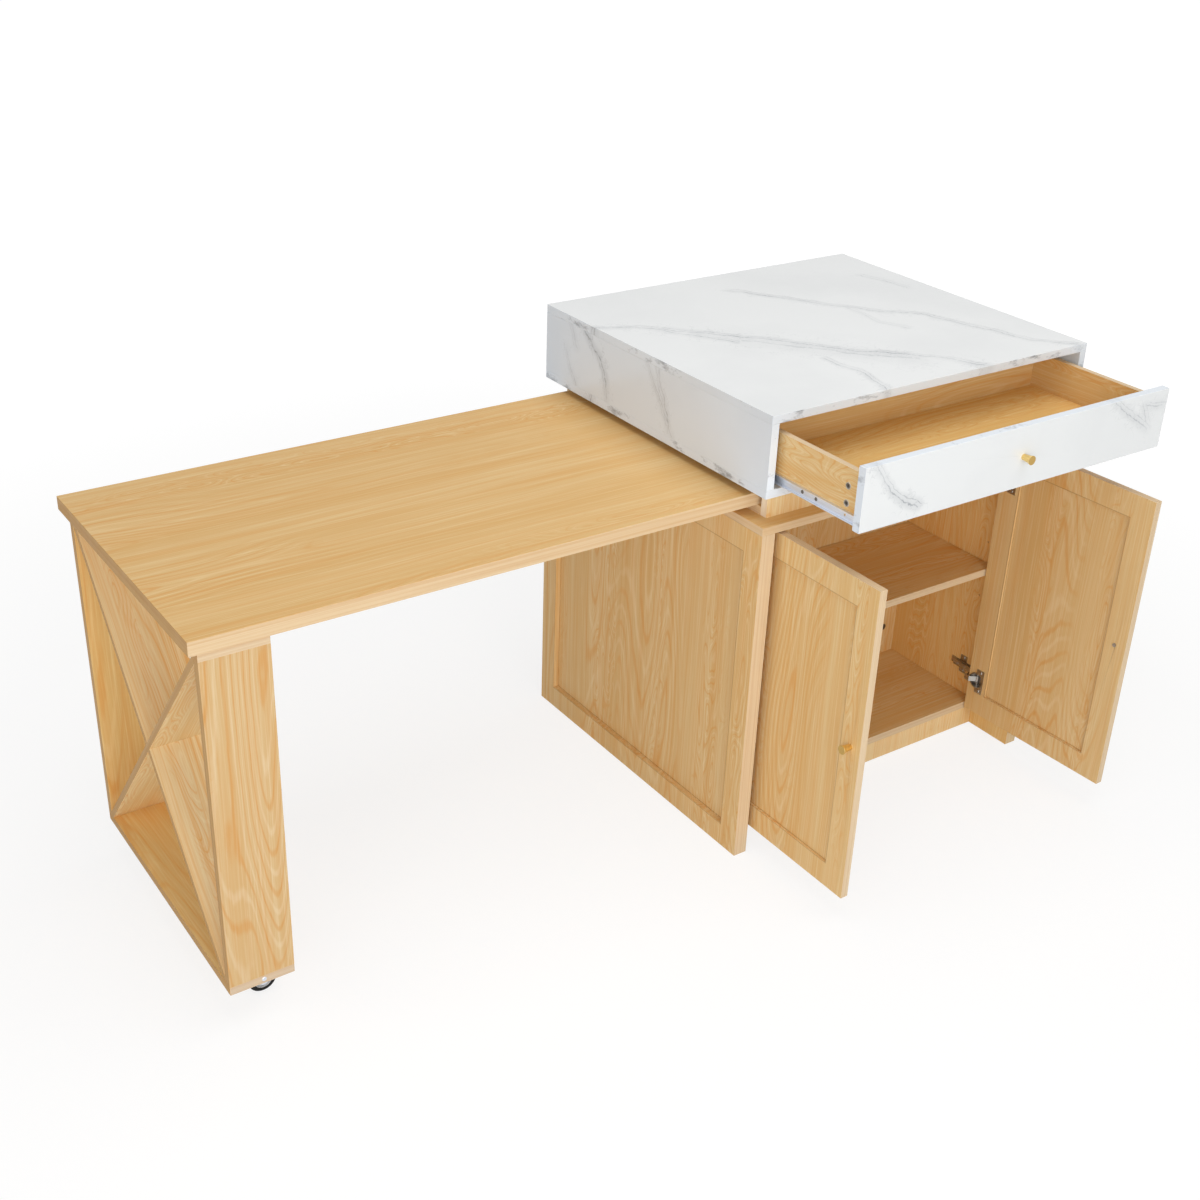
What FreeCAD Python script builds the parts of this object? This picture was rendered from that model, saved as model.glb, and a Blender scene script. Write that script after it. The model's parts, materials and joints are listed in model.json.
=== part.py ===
import FreeCAD, Part
import math
import os
import re
import Sketcher

# Counter height island with two doors, a drawer and a pull-out table leaf on castors.
# The frame: floor at zero height, X along the pulled-out leaf, the doors face -Y.

SIZES = {
    "counter_width": 790,
    "counter_depth": 705,
    "counter_height": 915,
    "board": 16,
    "box_height": 154,
    "riser_height": 55,
    "riser_inset": 32,
    "riser_setback": 31,
    "counter_rear_overhang": 5,
    "panel_thickness": 29,
    "panel_frame": 48,
    "panel_recess": 12,
    "inner_setback": 109,
    "knee_depth": 314,
    "plinth_height": 45,
    "shelf_top": 391,
    "shelf_side_gap": 1,
    "shelf_back_gap": 2,
    "shelf_pin_radius": 2.5,
    "shelf_pin_inside": 10,
    "shelf_pin_reach": 8,
    "shelf_pin_front": 28,
    "shelf_pin_spread": 204,
    "shelf_hole_pitch": 64,
    "hole_clearance": 0.1,
    "panel_cam_radius": 7.5,
    "panel_cam_depth": 12,
    "panel_cam_from_side": 36,
    "panel_cam_from_end": 129.5,
    "cam_slot_width": 2,
    "cam_slot_depth": 1.5,
    "leaf_reach": 1022,
    "leaf_held": 178,
    "leaf_side_gap": 10.5,
    "leaf_thickness": 25,
    "bed_strip": 80,
    "stop_length": 32,
    "stop_side_gap": 3,
    "stop_floor_gap": 2,
    "leg_setback": 15,
    "leg_inset": 6,
    "leg_depth": 114,
    "brace_thickness": 12,
    "castor_height": 77,
    "castor_from_leg_side": 73.5,
    "castor_plate_side": 60,
    "castor_plate_thickness": 2.5,
    "castor_race_radius": 22,
    "castor_race_height": 5,
    "castor_swivel_gap": 0.3,
    "castor_crown_radius": 23,
    "castor_crown_thickness": 3,
    "castor_trail": 25,
    "king_pin_radius": 4,
    "king_pin_head_radius": 7,
    "king_pin_head_height": 2.5,
    "running_clearance": 0.05,
    "wheel_radius": 25,
    "wheel_width": 18,
    "rim_radius": 19.7,
    "rim_depth": 4.5,
    "web_width": 7,
    "hub_radius": 8,
    "hub_width": 20,
    "tyre_shoulder": 3,
    "fork_side_gap": 0.5,
    "fork_leg_thickness": 2,
    "fork_eye_radius": 8,
    "fork_top_half": 17,
    "axle_radius": 3,
    "axle_head_radius": 5.5,
    "axle_head_height": 2.5,
    "door_width": 362,
    "door_bottom": 51,
    "door_top_gap": 4,
    "door_thickness": 16,
    "door_edge_gap": 2.5,
    "door_setback": 80,
    "door_frame": 50,
    "door_recess": 5,
    "left_door_turn": -90,
    "right_door_turn": 92,
    "pin_from_edge": 18,
    "hinge_from_end": 78.4,
    "hinge_pin_radius": 1.5,
    "hinge_pin_half_length": 16.3,
    "cup_radius": 17.5,
    "cup_from_edge": 22,
    "cup_depth": 12.5,
    "cup_wall": 1,
    "cup_floor": 0.8,
    "cup_rim_radius": 19,
    "flange_start": 20.7,
    "flange_width": 19.8,
    "flange_height": 57,
    "flange_thickness": 1.2,
    "flange_screw_offset": 9.5,
    "flange_screw_spacing": 45,
    "flange_hole_radius": 2.2,
    "arm_thickness": 2.5,
    "arm_height": 12,
    "arm_eye_radius": 3.2,
    "arm_slope": 36,
    "arm_reach_side": 15.5,
    "arm_reach_back": 22.25,
    "arm_length": 84,
    "arm_stand_off": 7.25,
    "hinge_plate_thickness": 2,
    "hinge_plate_start": 129,
    "hinge_plate_length": 55,
    "hinge_plate_height": 14,
    "hinge_wing_start": 141,
    "hinge_wing_length": 18,
    "hinge_wing_height": 42,
    "hinge_boss_start": 134,
    "hinge_boss_length": 36,
    "hinge_boss_height": 10,
    "plate_screw_spacing": 32,
    "plate_screw_radius": 2,
    "plate_screw_length": 14,
    "plate_screw_head_radius": 3.6,
    "plate_screw_head_height": 1.8,
    "knob_from_edge": 25,
    "knob_length": 20,
    "knob_base_radius": 5.5,
    "knob_neck_radius": 7,
    "knob_neck_height": 14,
    "knob_tip_radius": 8.5,
    "knob_lip": 1.5,
    "knob_bore_depth": 12,
    "knob_screw_radius": 2,
    "knob_screw_bite": 11,
    "knob_screw_head_radius": 4,
    "knob_screw_head_height": 2,
    "drawer_open": 213,
    "drawer_side_gap": 2,
    "drawer_bottom_gap": 2,
    "drawer_top_gap": 4,
    "drawer_depth": 312,
    "drawer_side_thickness": 12,
    "drawer_side_rise": 8,
    "drawer_side_height": 92,
    "drawer_bottom_rise": 23,
    "drawer_bottom_thickness": 4,
    "groove_depth": 5,
    "groove_end_gap": 0.5,
    "drawer_cam_radius": 5,
    "drawer_cam_depth": 9,
    "drawer_cam_from_front": 31,
    "drawer_cam_rise": 29,
    "drawer_cam_pitch": 31,
    "slide_space": 12.7,
    "slide_length": 300,
    "slide_front_gap": 2,
    "slide_sheet": 1.2,
    "runner_height": 17,
    "runner_width": 6.4,
    "channel_height": 27,
    "channel_width": 9.2,
    "slide_gap": 0.4,
    "slide_hole_radius": 2.2,
    "slide_hole_first": 30,
    "slide_hole_second": 102,
    "slide_hole_third": 137,
    "slide_hole_fourth": 270,
}

FORMULAS = {
    "cabinet_left": "=(leaf_reach - counter_width) / 2",
    "cabinet_right": "=cabinet_left + counter_width",
    "cabinet_depth": "=counter_depth - counter_rear_overhang",
    "back_inset": "=cabinet_depth - board - knee_depth",
    "leaf_width": "=counter_depth - 2 * (riser_setback + board + leaf_side_gap)",
    "panel_cam_high": "=side_height - panel_cam_from_end",
    "leaf_length": "=leaf_reach + leaf_held",
    "cabinet_middle": "=cabinet_left + counter_width / 2",
    "pin_setback": "=door_setback + door_thickness / 2",
    "front_reach": "=door_width - pin_from_edge - pin_setback",
    "cabinet_front": "=(front_reach - counter_depth) / 2",
    "counter_middle": "=cabinet_front + counter_depth / 2",
    "box_floor": "=counter_height - box_height",
    "riser_floor": "=box_floor - riser_height",
    "side_height": "=riser_floor - board",
    "leaf_floor": "=riser_floor + board",
    "leaf_end": "=cabinet_left - leaf_reach",
    "leaf_front": "=counter_middle - leaf_width / 2",
    "leg_left": "=leaf_end + leg_setback",
    "leg_front": "=leaf_front + leg_inset",
    "leg_width": "=leaf_width - 2 * leg_inset",
    "leg_post_floor": "=castor_height + board",
    "leg_post_height": "=leaf_floor - board - leg_post_floor",
    "leg_inner_width": "=leg_width - 2 * board",
    "brace_length": "=sqrt(leg_inner_width ^ 2 + leg_post_height ^ 2) + 4 * brace_thickness",
    "brace_lean": "=atan(leg_post_height / leg_inner_width) / 1 deg",
    "leg_centre_height": "=leg_post_floor + leg_post_height / 2",
    "castor_axis": "=leg_left + leg_depth / 2",
    "near_castor": "=leg_front + castor_from_leg_side",
    "far_castor": "=leg_front + leg_width - castor_from_leg_side",
    "race_floor": "=castor_height - castor_plate_thickness - castor_race_height",
    "crown_top": "=race_floor - castor_swivel_gap",
    "crown_floor": "=crown_top - castor_crown_thickness",
    "fork_inner_width": "=hub_width + 2 * fork_side_gap",
    "fork_outer_width": "=fork_inner_width + 2 * fork_leg_thickness",
    "half_wheel": "=wheel_width / 2",
    "half_hub": "=hub_width / 2",
    "half_web": "=web_width / 2",
    "rim_inner": "=rim_radius - rim_depth",
    "web_start": "=half_hub - half_web",
    "web_end": "=half_hub + half_web",
    "rim_start": "=half_hub - half_wheel",
    "rim_end": "=half_hub + half_wheel",
    "tyre_far_shoulder": "=wheel_width - tyre_shoulder",
    "axle_bore": "=axle_radius + running_clearance",
    "tyre_inner": "=rim_radius + hole_clearance",
    "tyre_crown": "=wheel_radius - tyre_shoulder",
    "panel_inner_left": "=cabinet_left + panel_thickness",
    "inner_width": "=counter_width - 2 * panel_thickness",
    "inner_front": "=cabinet_front + inner_setback",
    "back_face": "=cabinet_front + back_inset",
    "shelf_floor": "=shelf_top - board",
    "door_height": "=side_height - door_top_gap - door_bottom",
    "door_middle": "=door_bottom + door_height / 2",
    "low_hinge": "=door_bottom + hinge_from_end",
    "high_hinge": "=door_bottom + door_height - hinge_from_end",
    "left_pin": "=panel_inner_left + door_edge_gap + pin_from_edge",
    "right_pin": "=cabinet_left + cabinet_right - left_pin",
    "pin_line": "=cabinet_front + pin_setback",
    "inner_skin": "=door_thickness / 2",
    "outer_skin": "=-door_thickness / 2",
    "knob_place": "=door_width - pin_from_edge - knob_from_edge",
    "knob_bore_radius": "=knob_screw_radius + hole_clearance",
    "knob_lip_floor": "=knob_length - knob_lip",
    "cup_place": "=cup_from_edge - pin_from_edge",
    "cup_outer": "=cup_radius - hole_clearance",
    "cup_inner": "=cup_radius - cup_wall",
    "arm_pin_across": "=door_edge_gap + pin_from_edge - arm_stand_off",
    "arm_half_sine": "=arm_thickness / 2 * sin(arm_slope * 1 deg)",
    "arm_half_cosine": "=arm_thickness / 2 * cos(arm_slope * 1 deg)",
    "arm_half_slant": "=arm_thickness / 2 / cos(arm_slope * 1 deg)",
    "arm_start_low_across": "=arm_pin_across + arm_half_sine",
    "arm_start_low": "=arm_eye_radius - arm_half_cosine",
    "arm_start_high_across": "=arm_pin_across - arm_half_sine",
    "arm_start_high": "=arm_eye_radius + arm_half_cosine",
    "arm_crank_outside": "=arm_pin_across + arm_reach_side + arm_thickness / 2",
    "arm_crank_inside": "=arm_crank_outside - arm_thickness",
    "arm_rise_outside": "=(arm_crank_outside - arm_pin_across) * tan(arm_slope * 1 deg)",
    "arm_rise_inside": "=(arm_crank_inside - arm_pin_across) * tan(arm_slope * 1 deg)",
    "arm_bend_low": "=arm_eye_radius + arm_rise_outside - arm_half_slant",
    "arm_bend_high": "=arm_eye_radius + arm_rise_inside + arm_half_slant",
    "arm_span_back": "=arm_eye_radius + arm_reach_back + arm_thickness / 2",
    "arm_span_front": "=arm_span_back - arm_thickness",
    "arm_end": "=arm_eye_radius + arm_length",
    "drawer_front_y": "=cabinet_front - drawer_open",
    "drawer_inner_y": "=drawer_front_y + board",
    "drawer_left": "=cabinet_left + board + slide_space",
    "drawer_width": "=counter_width - 2 * board - 2 * slide_space",
    "drawer_front_floor": "=box_floor + board + drawer_bottom_gap",
    "drawer_front_height": "=box_height - 2 * board - drawer_bottom_gap - drawer_top_gap",
    "drawer_side_length": "=drawer_depth - board",
    "drawer_side_bottom": "=box_floor + board + drawer_side_rise",
    "drawer_bottom_top": "=drawer_side_bottom + drawer_bottom_rise",
    "drawer_cam_low": "=drawer_side_bottom + drawer_cam_rise",
    "groove_floor": "=drawer_bottom_top - drawer_bottom_thickness",
    "slide_middle": "=drawer_side_bottom + runner_height / 2",
    "channel_lip_inside": "=channel_width - slide_sheet",
    "channel_inner_top": "=channel_height - slide_sheet",
    "channel_mouth_low": "=(channel_height - runner_height) / 2 - slide_gap",
    "channel_mouth_high": "=(channel_height + runner_height) / 2 + slide_gap",
    "runner_web_face": "=runner_width - slide_sheet",
    "runner_lip_top": "=runner_height - slide_sheet",
}

doc = FreeCAD.newDocument("counter_height_table")
sheet = doc.addObject("Spreadsheet::Sheet", "Sizes")
for row, (alias, value) in enumerate(list(SIZES.items()) + list(FORMULAS.items()), 1):
    sheet.set("A%d" % row, alias)
    sheet.set("B%d" % row, str(value))
    sheet.setAlias("B%d" % row, alias)
doc.recompute()

ALIASES = set(SIZES) | set(FORMULAS)
TURNS = {
    "x": FreeCAD.Rotation(FreeCAD.Vector(0, 1, 0), 90),
    "y": FreeCAD.Rotation(FreeCAD.Vector(1, 0, 0), -90),
    "z": FreeCAD.Rotation(),
    "-y": FreeCAD.Rotation(FreeCAD.Vector(1, 0, 0), 90),
}
nodes = {}


def cells(text):
    """Point every size named in an expression at its cell."""
    def cell(word):
        return "Sizes." + word.group() if word.group() in ALIASES else word.group()
    return re.sub(r"[a-z_]+", cell, text)


def bind(thing, path, text):
    thing.setExpression(path, cells(text))


def place(thing, spot, rotation=None):
    """Put a piece at a point given as three expressions."""
    if rotation:
        thing.Placement = FreeCAD.Placement(FreeCAD.Vector(), rotation)
    for axis, text in zip("xyz", spot):
        bind(thing, "Placement.Base." + axis, text)


def turn(thing, angle, axis=(0, 0, 1)):
    """Turn a piece about an axis by an angle from the sheet."""
    thing.Placement = FreeCAD.Placement(thing.Placement.Base, FreeCAD.Rotation(FreeCAD.Vector(*axis), 1))
    bind(thing, "Placement.Rotation.Angle", angle)


def box(corner, size):
    block = doc.addObject("Part::Box", "block")
    for path, text in zip(("Length", "Width", "Height"), size):
        bind(block, path, text)
    place(block, corner)
    return block


def rod(radius, length, start, direction):
    """A cylinder from a start point along an axis."""
    cylinder = doc.addObject("Part::Cylinder", "rod")
    bind(cylinder, "Radius", radius)
    bind(cylinder, "Height", length)
    place(cylinder, start, TURNS[direction])
    return cylinder


def fuse(pieces):
    joined = doc.addObject("Part::MultiFuse", "joined")
    joined.Shapes = pieces
    joined.Refine = True
    return joined


def cut(base, tools):
    remainder = doc.addObject("Part::Cut", "remainder")
    remainder.Base = base
    remainder.Tool = tools[0] if len(tools) == 1 else fuse(tools)
    return remainder


def common(first, second):
    overlap = doc.addObject("Part::Common", "overlap")
    overlap.Base = first
    overlap.Tool = second
    return overlap


def group(pieces):
    together = doc.addObject("Part::Compound", "together")
    together.Links = pieces
    return together


def mirror(source, axis, position):
    """The same piece on the other side of a plane."""
    image = doc.addObject("Part::Mirroring", "image")
    image.Source = source
    image.Normal = FreeCAD.Vector(axis == "x", axis == "y", axis == "z")
    bind(image, "Base." + axis, position)
    return image


def node(label, piece):
    piece.Label = label
    nodes[label] = piece
    return piece


def size(alias):
    """A size as a number; an axis point is given as None."""
    return 0.0 if alias is None else float(sheet.get(alias))


def profile(body, plane, points):
    """A closed outline in a body's own plane; each corner is tied to two cells."""
    sketch = body.newObject("Sketcher::SketchObject", "outline")
    support = [item for item in body.Origin.OriginFeatures if item.Role == plane][0]
    sketch.AttachmentSupport = [(support, "")]
    sketch.MapMode = "FlatFace"
    spots = [FreeCAD.Vector(size(across), size(along), 0) for across, along in points]
    count = len(spots)
    for index in range(count):
        sketch.addGeometry(Part.LineSegment(spots[index], spots[(index + 1) % count]), False)
    for index in range(count):
        sketch.addConstraint(Sketcher.Constraint("Coincident", index, 2, (index + 1) % count, 1))
    for index, (across, along) in enumerate(points):
        for kind, alias, axis in (("DistanceX", across, -2), ("DistanceY", along, -1)):
            if alias is None:
                sketch.addConstraint(Sketcher.Constraint("PointOnObject", index, 1, axis))
            else:
                tie = sketch.addConstraint(Sketcher.Constraint(kind, -1, 1, index, 1, size(alias)))
                sketch.renameConstraint(tie, "%s_%d" % (kind, index))
                bind(sketch, "Constraints.%s_%d" % (kind, index), alias)
    return sketch


def turned(points):
    """A body turned about its own Z axis from an outline of radius and height."""
    body = doc.addObject("PartDesign::Body", "turned")
    sketch = profile(body, "XZ_Plane", points)
    spin = body.newObject("PartDesign::Revolution", "spin")
    spin.Profile = sketch
    spin.ReferenceAxis = (sketch, ["V_Axis"])
    spin.Angle = 360
    doc.recompute()
    return body


def raised(points, plane, length):
    """A body raised along a positive axis from an outline in its own plane."""
    body = doc.addObject("PartDesign::Body", "raised")
    sketch = profile(body, plane, points)
    pad = body.newObject("PartDesign::Pad", "pad")
    pad.Profile = sketch
    pad.Reversed = plane == "XZ_Plane"
    bind(pad, "Length", length)
    doc.recompute()
    return body


def cam(radius, depth, face, direction):
    """A cam lock flush with a board's face, with a crossed recess for the screwdriver."""
    barrel = rod(radius + " - hole_clearance", depth + " - hole_clearance", face, direction)
    slots = []
    for wide, tall in ((radius, "cam_slot_width"), ("cam_slot_width", radius)):
        low = face[2] + " - " + tall + " / 2"
        if direction == "x":
            slots.append(box((face[0], face[1] + " - " + wide + " / 2", low), ("cam_slot_depth", wide, tall)))
        else:
            slots.append(box((face[0] + " - " + wide + " / 2", face[1], low), (wide, "cam_slot_depth", tall)))
    return cut(barrel, slots)


# Side panels with a recessed field outside, shelf pin holes and hinge screw holes inside.

recess = box(
    ("cabinet_left", "cabinet_front + panel_frame", "panel_frame"),
    ("panel_recess", "cabinet_depth - 2 * panel_frame", "side_height - 2 * panel_frame"),
)
panel_holes = []
for reach in ("shelf_pin_front", "shelf_pin_front + shelf_pin_spread"):
    for step in ("-1", "0", "1"):
        panel_holes.append(rod(
            "shelf_pin_radius + hole_clearance",
            "shelf_pin_inside",
            ("panel_inner_left - shelf_pin_inside", "inner_front + " + reach,
             "shelf_floor - shelf_pin_radius + (" + step + ") * shelf_hole_pitch"),
            "x",
        ))
screw_line = "cabinet_front + hinge_wing_start + hinge_wing_length / 2"
for hinge in ("low_hinge", "high_hinge"):
    for sign in ("-", "+"):
        panel_holes.append(rod(
            "plate_screw_radius + hole_clearance",
            "plate_screw_length + hole_clearance",
            ("panel_inner_left - plate_screw_length - hole_clearance", screw_line,
             hinge + sign + "plate_screw_spacing / 2"),
            "x",
        ))
side_slab = box(
    ("cabinet_left", "cabinet_front", "0"),
    ("panel_thickness", "cabinet_depth", "side_height"),
)
left_panel = node("left_side_panel", cut(side_slab, [recess] + panel_holes))
node("right_side_panel", mirror(left_panel, "x", "cabinet_middle"))

# Cabinet boards between and over the side panels.

node("cabinet_top", box(
    ("cabinet_left", "cabinet_front", "side_height"),
    ("counter_width", "cabinet_depth", "board"),
))
node("bottom_panel", box(
    ("panel_inner_left", "inner_front", "plinth_height"),
    ("inner_width", "back_inset - inner_setback", "board"),
))
node("plinth", box(
    ("panel_inner_left", "inner_front", "0"),
    ("inner_width", "board", "plinth_height"),
))
node("shelf", box(
    ("panel_inner_left + shelf_side_gap", "inner_front", "shelf_floor"),
    ("inner_width - 2 * shelf_side_gap", "back_inset - inner_setback - shelf_back_gap", "board"),
))
shelf_pins = []
for reach in ("shelf_pin_front", "shelf_pin_front + shelf_pin_spread"):
    pin = rod(
        "shelf_pin_radius",
        "shelf_pin_inside - hole_clearance + shelf_pin_reach",
        ("panel_inner_left - shelf_pin_inside + hole_clearance", "inner_front + " + reach,
         "shelf_floor - shelf_pin_radius"),
        "x",
    )
    shelf_pins += [pin, mirror(pin, "x", "cabinet_middle")]
node("shelf_pins", group(shelf_pins))

cam_bores = []
cams = []
for height in ("panel_cam_from_end", "panel_cam_high"):
    for spot in ("panel_cam_from_side", "inner_width - panel_cam_from_side"):
        face = ("panel_inner_left + " + spot, "back_face", height)
        cam_bores.append(rod("panel_cam_radius", "panel_cam_depth", face, "y"))
        cams.append(cam("panel_cam_radius", "panel_cam_depth", face, "y"))
back_slab = box(
    ("panel_inner_left", "back_face", "0"),
    ("inner_width", "board", "side_height"),
)
node("back_panel", cut(back_slab, cam_bores))
node("panel_cams", group(cams))

# Risers and the bed that the leaf slides on.

riser_length = "counter_width - 2 * riser_inset"
bed_depth = "counter_depth - 2 * riser_setback - 2 * board"
node("front_riser", box(
    ("cabinet_left + riser_inset", "cabinet_front + riser_setback", "riser_floor"),
    (riser_length, "board", "riser_height"),
))
node("rear_riser", box(
    ("cabinet_left + riser_inset", "cabinet_front + counter_depth - riser_setback - board", "riser_floor"),
    (riser_length, "board", "riser_height"),
))
node("right_riser", box(
    ("cabinet_right - riser_inset - board", "cabinet_front + riser_setback + board", "riser_floor"),
    ("board", bed_depth, "riser_height"),
))
node("bed_sill", box(
    ("cabinet_left + riser_inset", "cabinet_front + riser_setback + board", "riser_floor"),
    ("bed_strip", bed_depth, "board"),
))
runner_size = (riser_length + " - board - bed_strip", "bed_strip", "board")
near_runner = box(
    ("cabinet_left + riser_inset + bed_strip", "cabinet_front + riser_setback + board", "riser_floor"),
    runner_size,
)
node("bed_runners", group([near_runner, mirror(near_runner, "y", "counter_middle")]))

# Marble-look box that holds the drawer.

node("counter_top", box(
    ("cabinet_left", "cabinet_front", "counter_height - board"),
    ("counter_width", "counter_depth", "board"),
))
box_side = node("box_left_side", box(
    ("cabinet_left", "cabinet_front", "box_floor + board"),
    ("board", "counter_depth", "box_height - 2 * board"),
))
node("box_right_side", mirror(box_side, "x", "cabinet_middle"))
node("box_bottom", box(
    ("cabinet_left", "cabinet_front", "box_floor"),
    ("counter_width", "counter_depth", "board"),
))
node("box_back", box(
    ("cabinet_left + board", "cabinet_front + counter_depth - board", "box_floor + board"),
    ("counter_width - 2 * board", "board", "box_height - 2 * board"),
))

# Drawer slides: a lipped channel on the box side, a runner on the drawer side.

CHANNEL = [
    (None, None),
    ("channel_width", None),
    ("channel_width", "channel_mouth_low"),
    ("channel_lip_inside", "channel_mouth_low"),
    ("channel_lip_inside", "slide_sheet"),
    ("slide_sheet", "slide_sheet"),
    ("slide_sheet", "channel_inner_top"),
    ("channel_lip_inside", "channel_inner_top"),
    ("channel_lip_inside", "channel_mouth_high"),
    ("channel_width", "channel_mouth_high"),
    ("channel_width", "channel_height"),
    (None, "channel_height"),
]
RUNNER = [
    (None, None),
    ("runner_width", None),
    ("runner_width", "runner_height"),
    (None, "runner_height"),
    (None, "runner_lip_top"),
    ("runner_web_face", "runner_lip_top"),
    ("runner_web_face", "slide_sheet"),
    (None, "slide_sheet"),
]

channel = raised(CHANNEL, "XZ_Plane", "slide_length")
place(channel, (
    "cabinet_left + board",
    "cabinet_front + board + slide_front_gap",
    "slide_middle - channel_height / 2",
))
node("slide_channels", group([channel, mirror(channel, "x", "cabinet_middle")]))

rail = raised(RUNNER, "XZ_Plane", "slide_length")
place(rail, ("drawer_left - runner_width", "drawer_inner_y", "drawer_side_bottom"))
runner_holes = []
for reach in ("slide_hole_first", "slide_hole_second", "slide_hole_third", "slide_hole_fourth"):
    runner_holes.append(rod(
        "slide_hole_radius",
        "slide_sheet",
        ("drawer_left - slide_sheet", "drawer_inner_y + " + reach, "slide_middle"),
        "x",
    ))
runner = cut(rail, runner_holes)
node("slide_runners", group([runner, mirror(runner, "x", "cabinet_middle")]))

# Drawer box with a bottom panel held in grooves.

knob_height = "drawer_front_floor + drawer_front_height / 2"
front_slab = box(
    ("cabinet_left + board + drawer_side_gap", "drawer_front_y", "drawer_front_floor"),
    ("counter_width - 2 * board - 2 * drawer_side_gap", "board", "drawer_front_height"),
)
groove_left = "drawer_left + drawer_side_thickness - groove_depth"
groove_width = "drawer_width - 2 * drawer_side_thickness + 2 * groove_depth"
front_groove = box(
    (groove_left, "drawer_inner_y - groove_depth", "groove_floor"),
    (groove_width, "groove_depth", "drawer_bottom_thickness"),
)
front_bore = rod("knob_bore_radius", "board", ("cabinet_middle", "drawer_front_y", knob_height), "y")
node("drawer_front", cut(front_slab, [front_groove, front_bore]))

side_groove = box(
    (groove_left, "drawer_inner_y", "groove_floor"),
    ("groove_depth", "drawer_side_length", "drawer_bottom_thickness"),
)
drawer_cam_bores = []
drawer_cams = []
for step in ("0", "1"):
    height = "drawer_cam_low + " + step + " * drawer_cam_pitch"
    face = ("drawer_left", "drawer_inner_y + drawer_cam_from_front", height)
    drawer_cam_bores.append(rod("drawer_cam_radius", "drawer_cam_depth", face, "x"))
    lock = cam("drawer_cam_radius", "drawer_cam_depth", face, "x")
    drawer_cams += [lock, mirror(lock, "x", "cabinet_middle")]
drawer_side = box(
    ("drawer_left", "drawer_inner_y", "drawer_side_bottom"),
    ("drawer_side_thickness", "drawer_side_length", "drawer_side_height"),
)
drawer_left_side = node("drawer_left_side", cut(drawer_side, [side_groove] + drawer_cam_bores))
node("drawer_right_side", mirror(drawer_left_side, "x", "cabinet_middle"))
node("drawer_cams", group(drawer_cams))
node("drawer_back", box(
    (
        "drawer_left + drawer_side_thickness",
        "drawer_front_y + drawer_depth - drawer_side_thickness",
        "drawer_bottom_top",
    ),
    (
        "drawer_width - 2 * drawer_side_thickness",
        "drawer_side_thickness",
        "drawer_side_bottom + drawer_side_height - drawer_bottom_top",
    ),
))
node("drawer_bottom", box(
    (groove_left + " + groove_end_gap", "drawer_inner_y - groove_depth + groove_end_gap", "groove_floor"),
    (groove_width + " - 2 * groove_end_gap", "drawer_side_length + groove_depth - groove_end_gap",
     "drawer_bottom_thickness"),
))

# Knobs flare toward the tip and take a screw from behind.

KNOB = [
    ("knob_bore_radius", None),
    ("knob_base_radius", None),
    ("knob_neck_radius", "knob_neck_height"),
    ("knob_tip_radius", "knob_lip_floor"),
    ("knob_tip_radius", "knob_length"),
    (None, "knob_length"),
    (None, "knob_bore_depth"),
    ("knob_bore_radius", "knob_bore_depth"),
]


def knob(spot):
    """A knob that stands out toward -Y."""
    piece = turned(KNOB)
    place(piece, spot, TURNS["-y"])
    return piece


def knob_screw(across, face, height, thickness):
    """A round-head screw with its head on the inner face."""
    reach = thickness + " + knob_screw_bite"
    shank = rod("knob_screw_radius", reach, (across, face + " - (" + reach + ")", height), "y")
    head = rod("knob_screw_head_radius", "knob_screw_head_height", (across, face, height), "y")
    return fuse([shank, head])


node("drawer_knob", knob(("cabinet_middle", "drawer_front_y", knob_height)))
node("drawer_knob_screw", knob_screw("cabinet_middle", "drawer_inner_y", knob_height, "board"))

# Doors, each built about its own hinge pin and then turned to the pose of the photo.


def along(side, start, length):
    """Where a span starts along the door, measured from the pin."""
    if side == "left":
        return start
    return "-(" + start + ") - (" + length + ")"


def across_pin(side, spot):
    return spot if side == "left" else "-(" + spot + ")"


def hang(label, side, pieces):
    """Carry door pieces to the pin's place and turn them with the door."""
    carried = group(pieces)
    place(carried, (side + "_pin", "pin_line", "0"))
    turn(carried, side + "_door_turn")
    return node(label, carried)


def door(side):
    slab = box(
        (along(side, "-pin_from_edge", "door_width"), "outer_skin", "door_bottom"),
        ("door_width", "door_thickness", "door_height"),
    )
    field = ("door_width - 2 * door_frame", "door_recess", "door_height - 2 * door_frame")
    field_x = along(side, "door_frame - pin_from_edge", field[0])
    tools = [
        box((field_x, "outer_skin", "door_bottom + door_frame"), field),
        box((field_x, "inner_skin - door_recess", "door_bottom + door_frame"), field),
        rod("knob_bore_radius", "door_thickness",
            (across_pin(side, "knob_place"), "outer_skin", "door_middle"), "y"),
    ]
    for hinge in ("low_hinge", "high_hinge"):
        tools.append(rod(
            "cup_radius",
            "cup_depth",
            (across_pin(side, "cup_place"), "inner_skin - cup_depth", hinge),
            "y",
        ))
    return cut(slab, tools)


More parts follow.
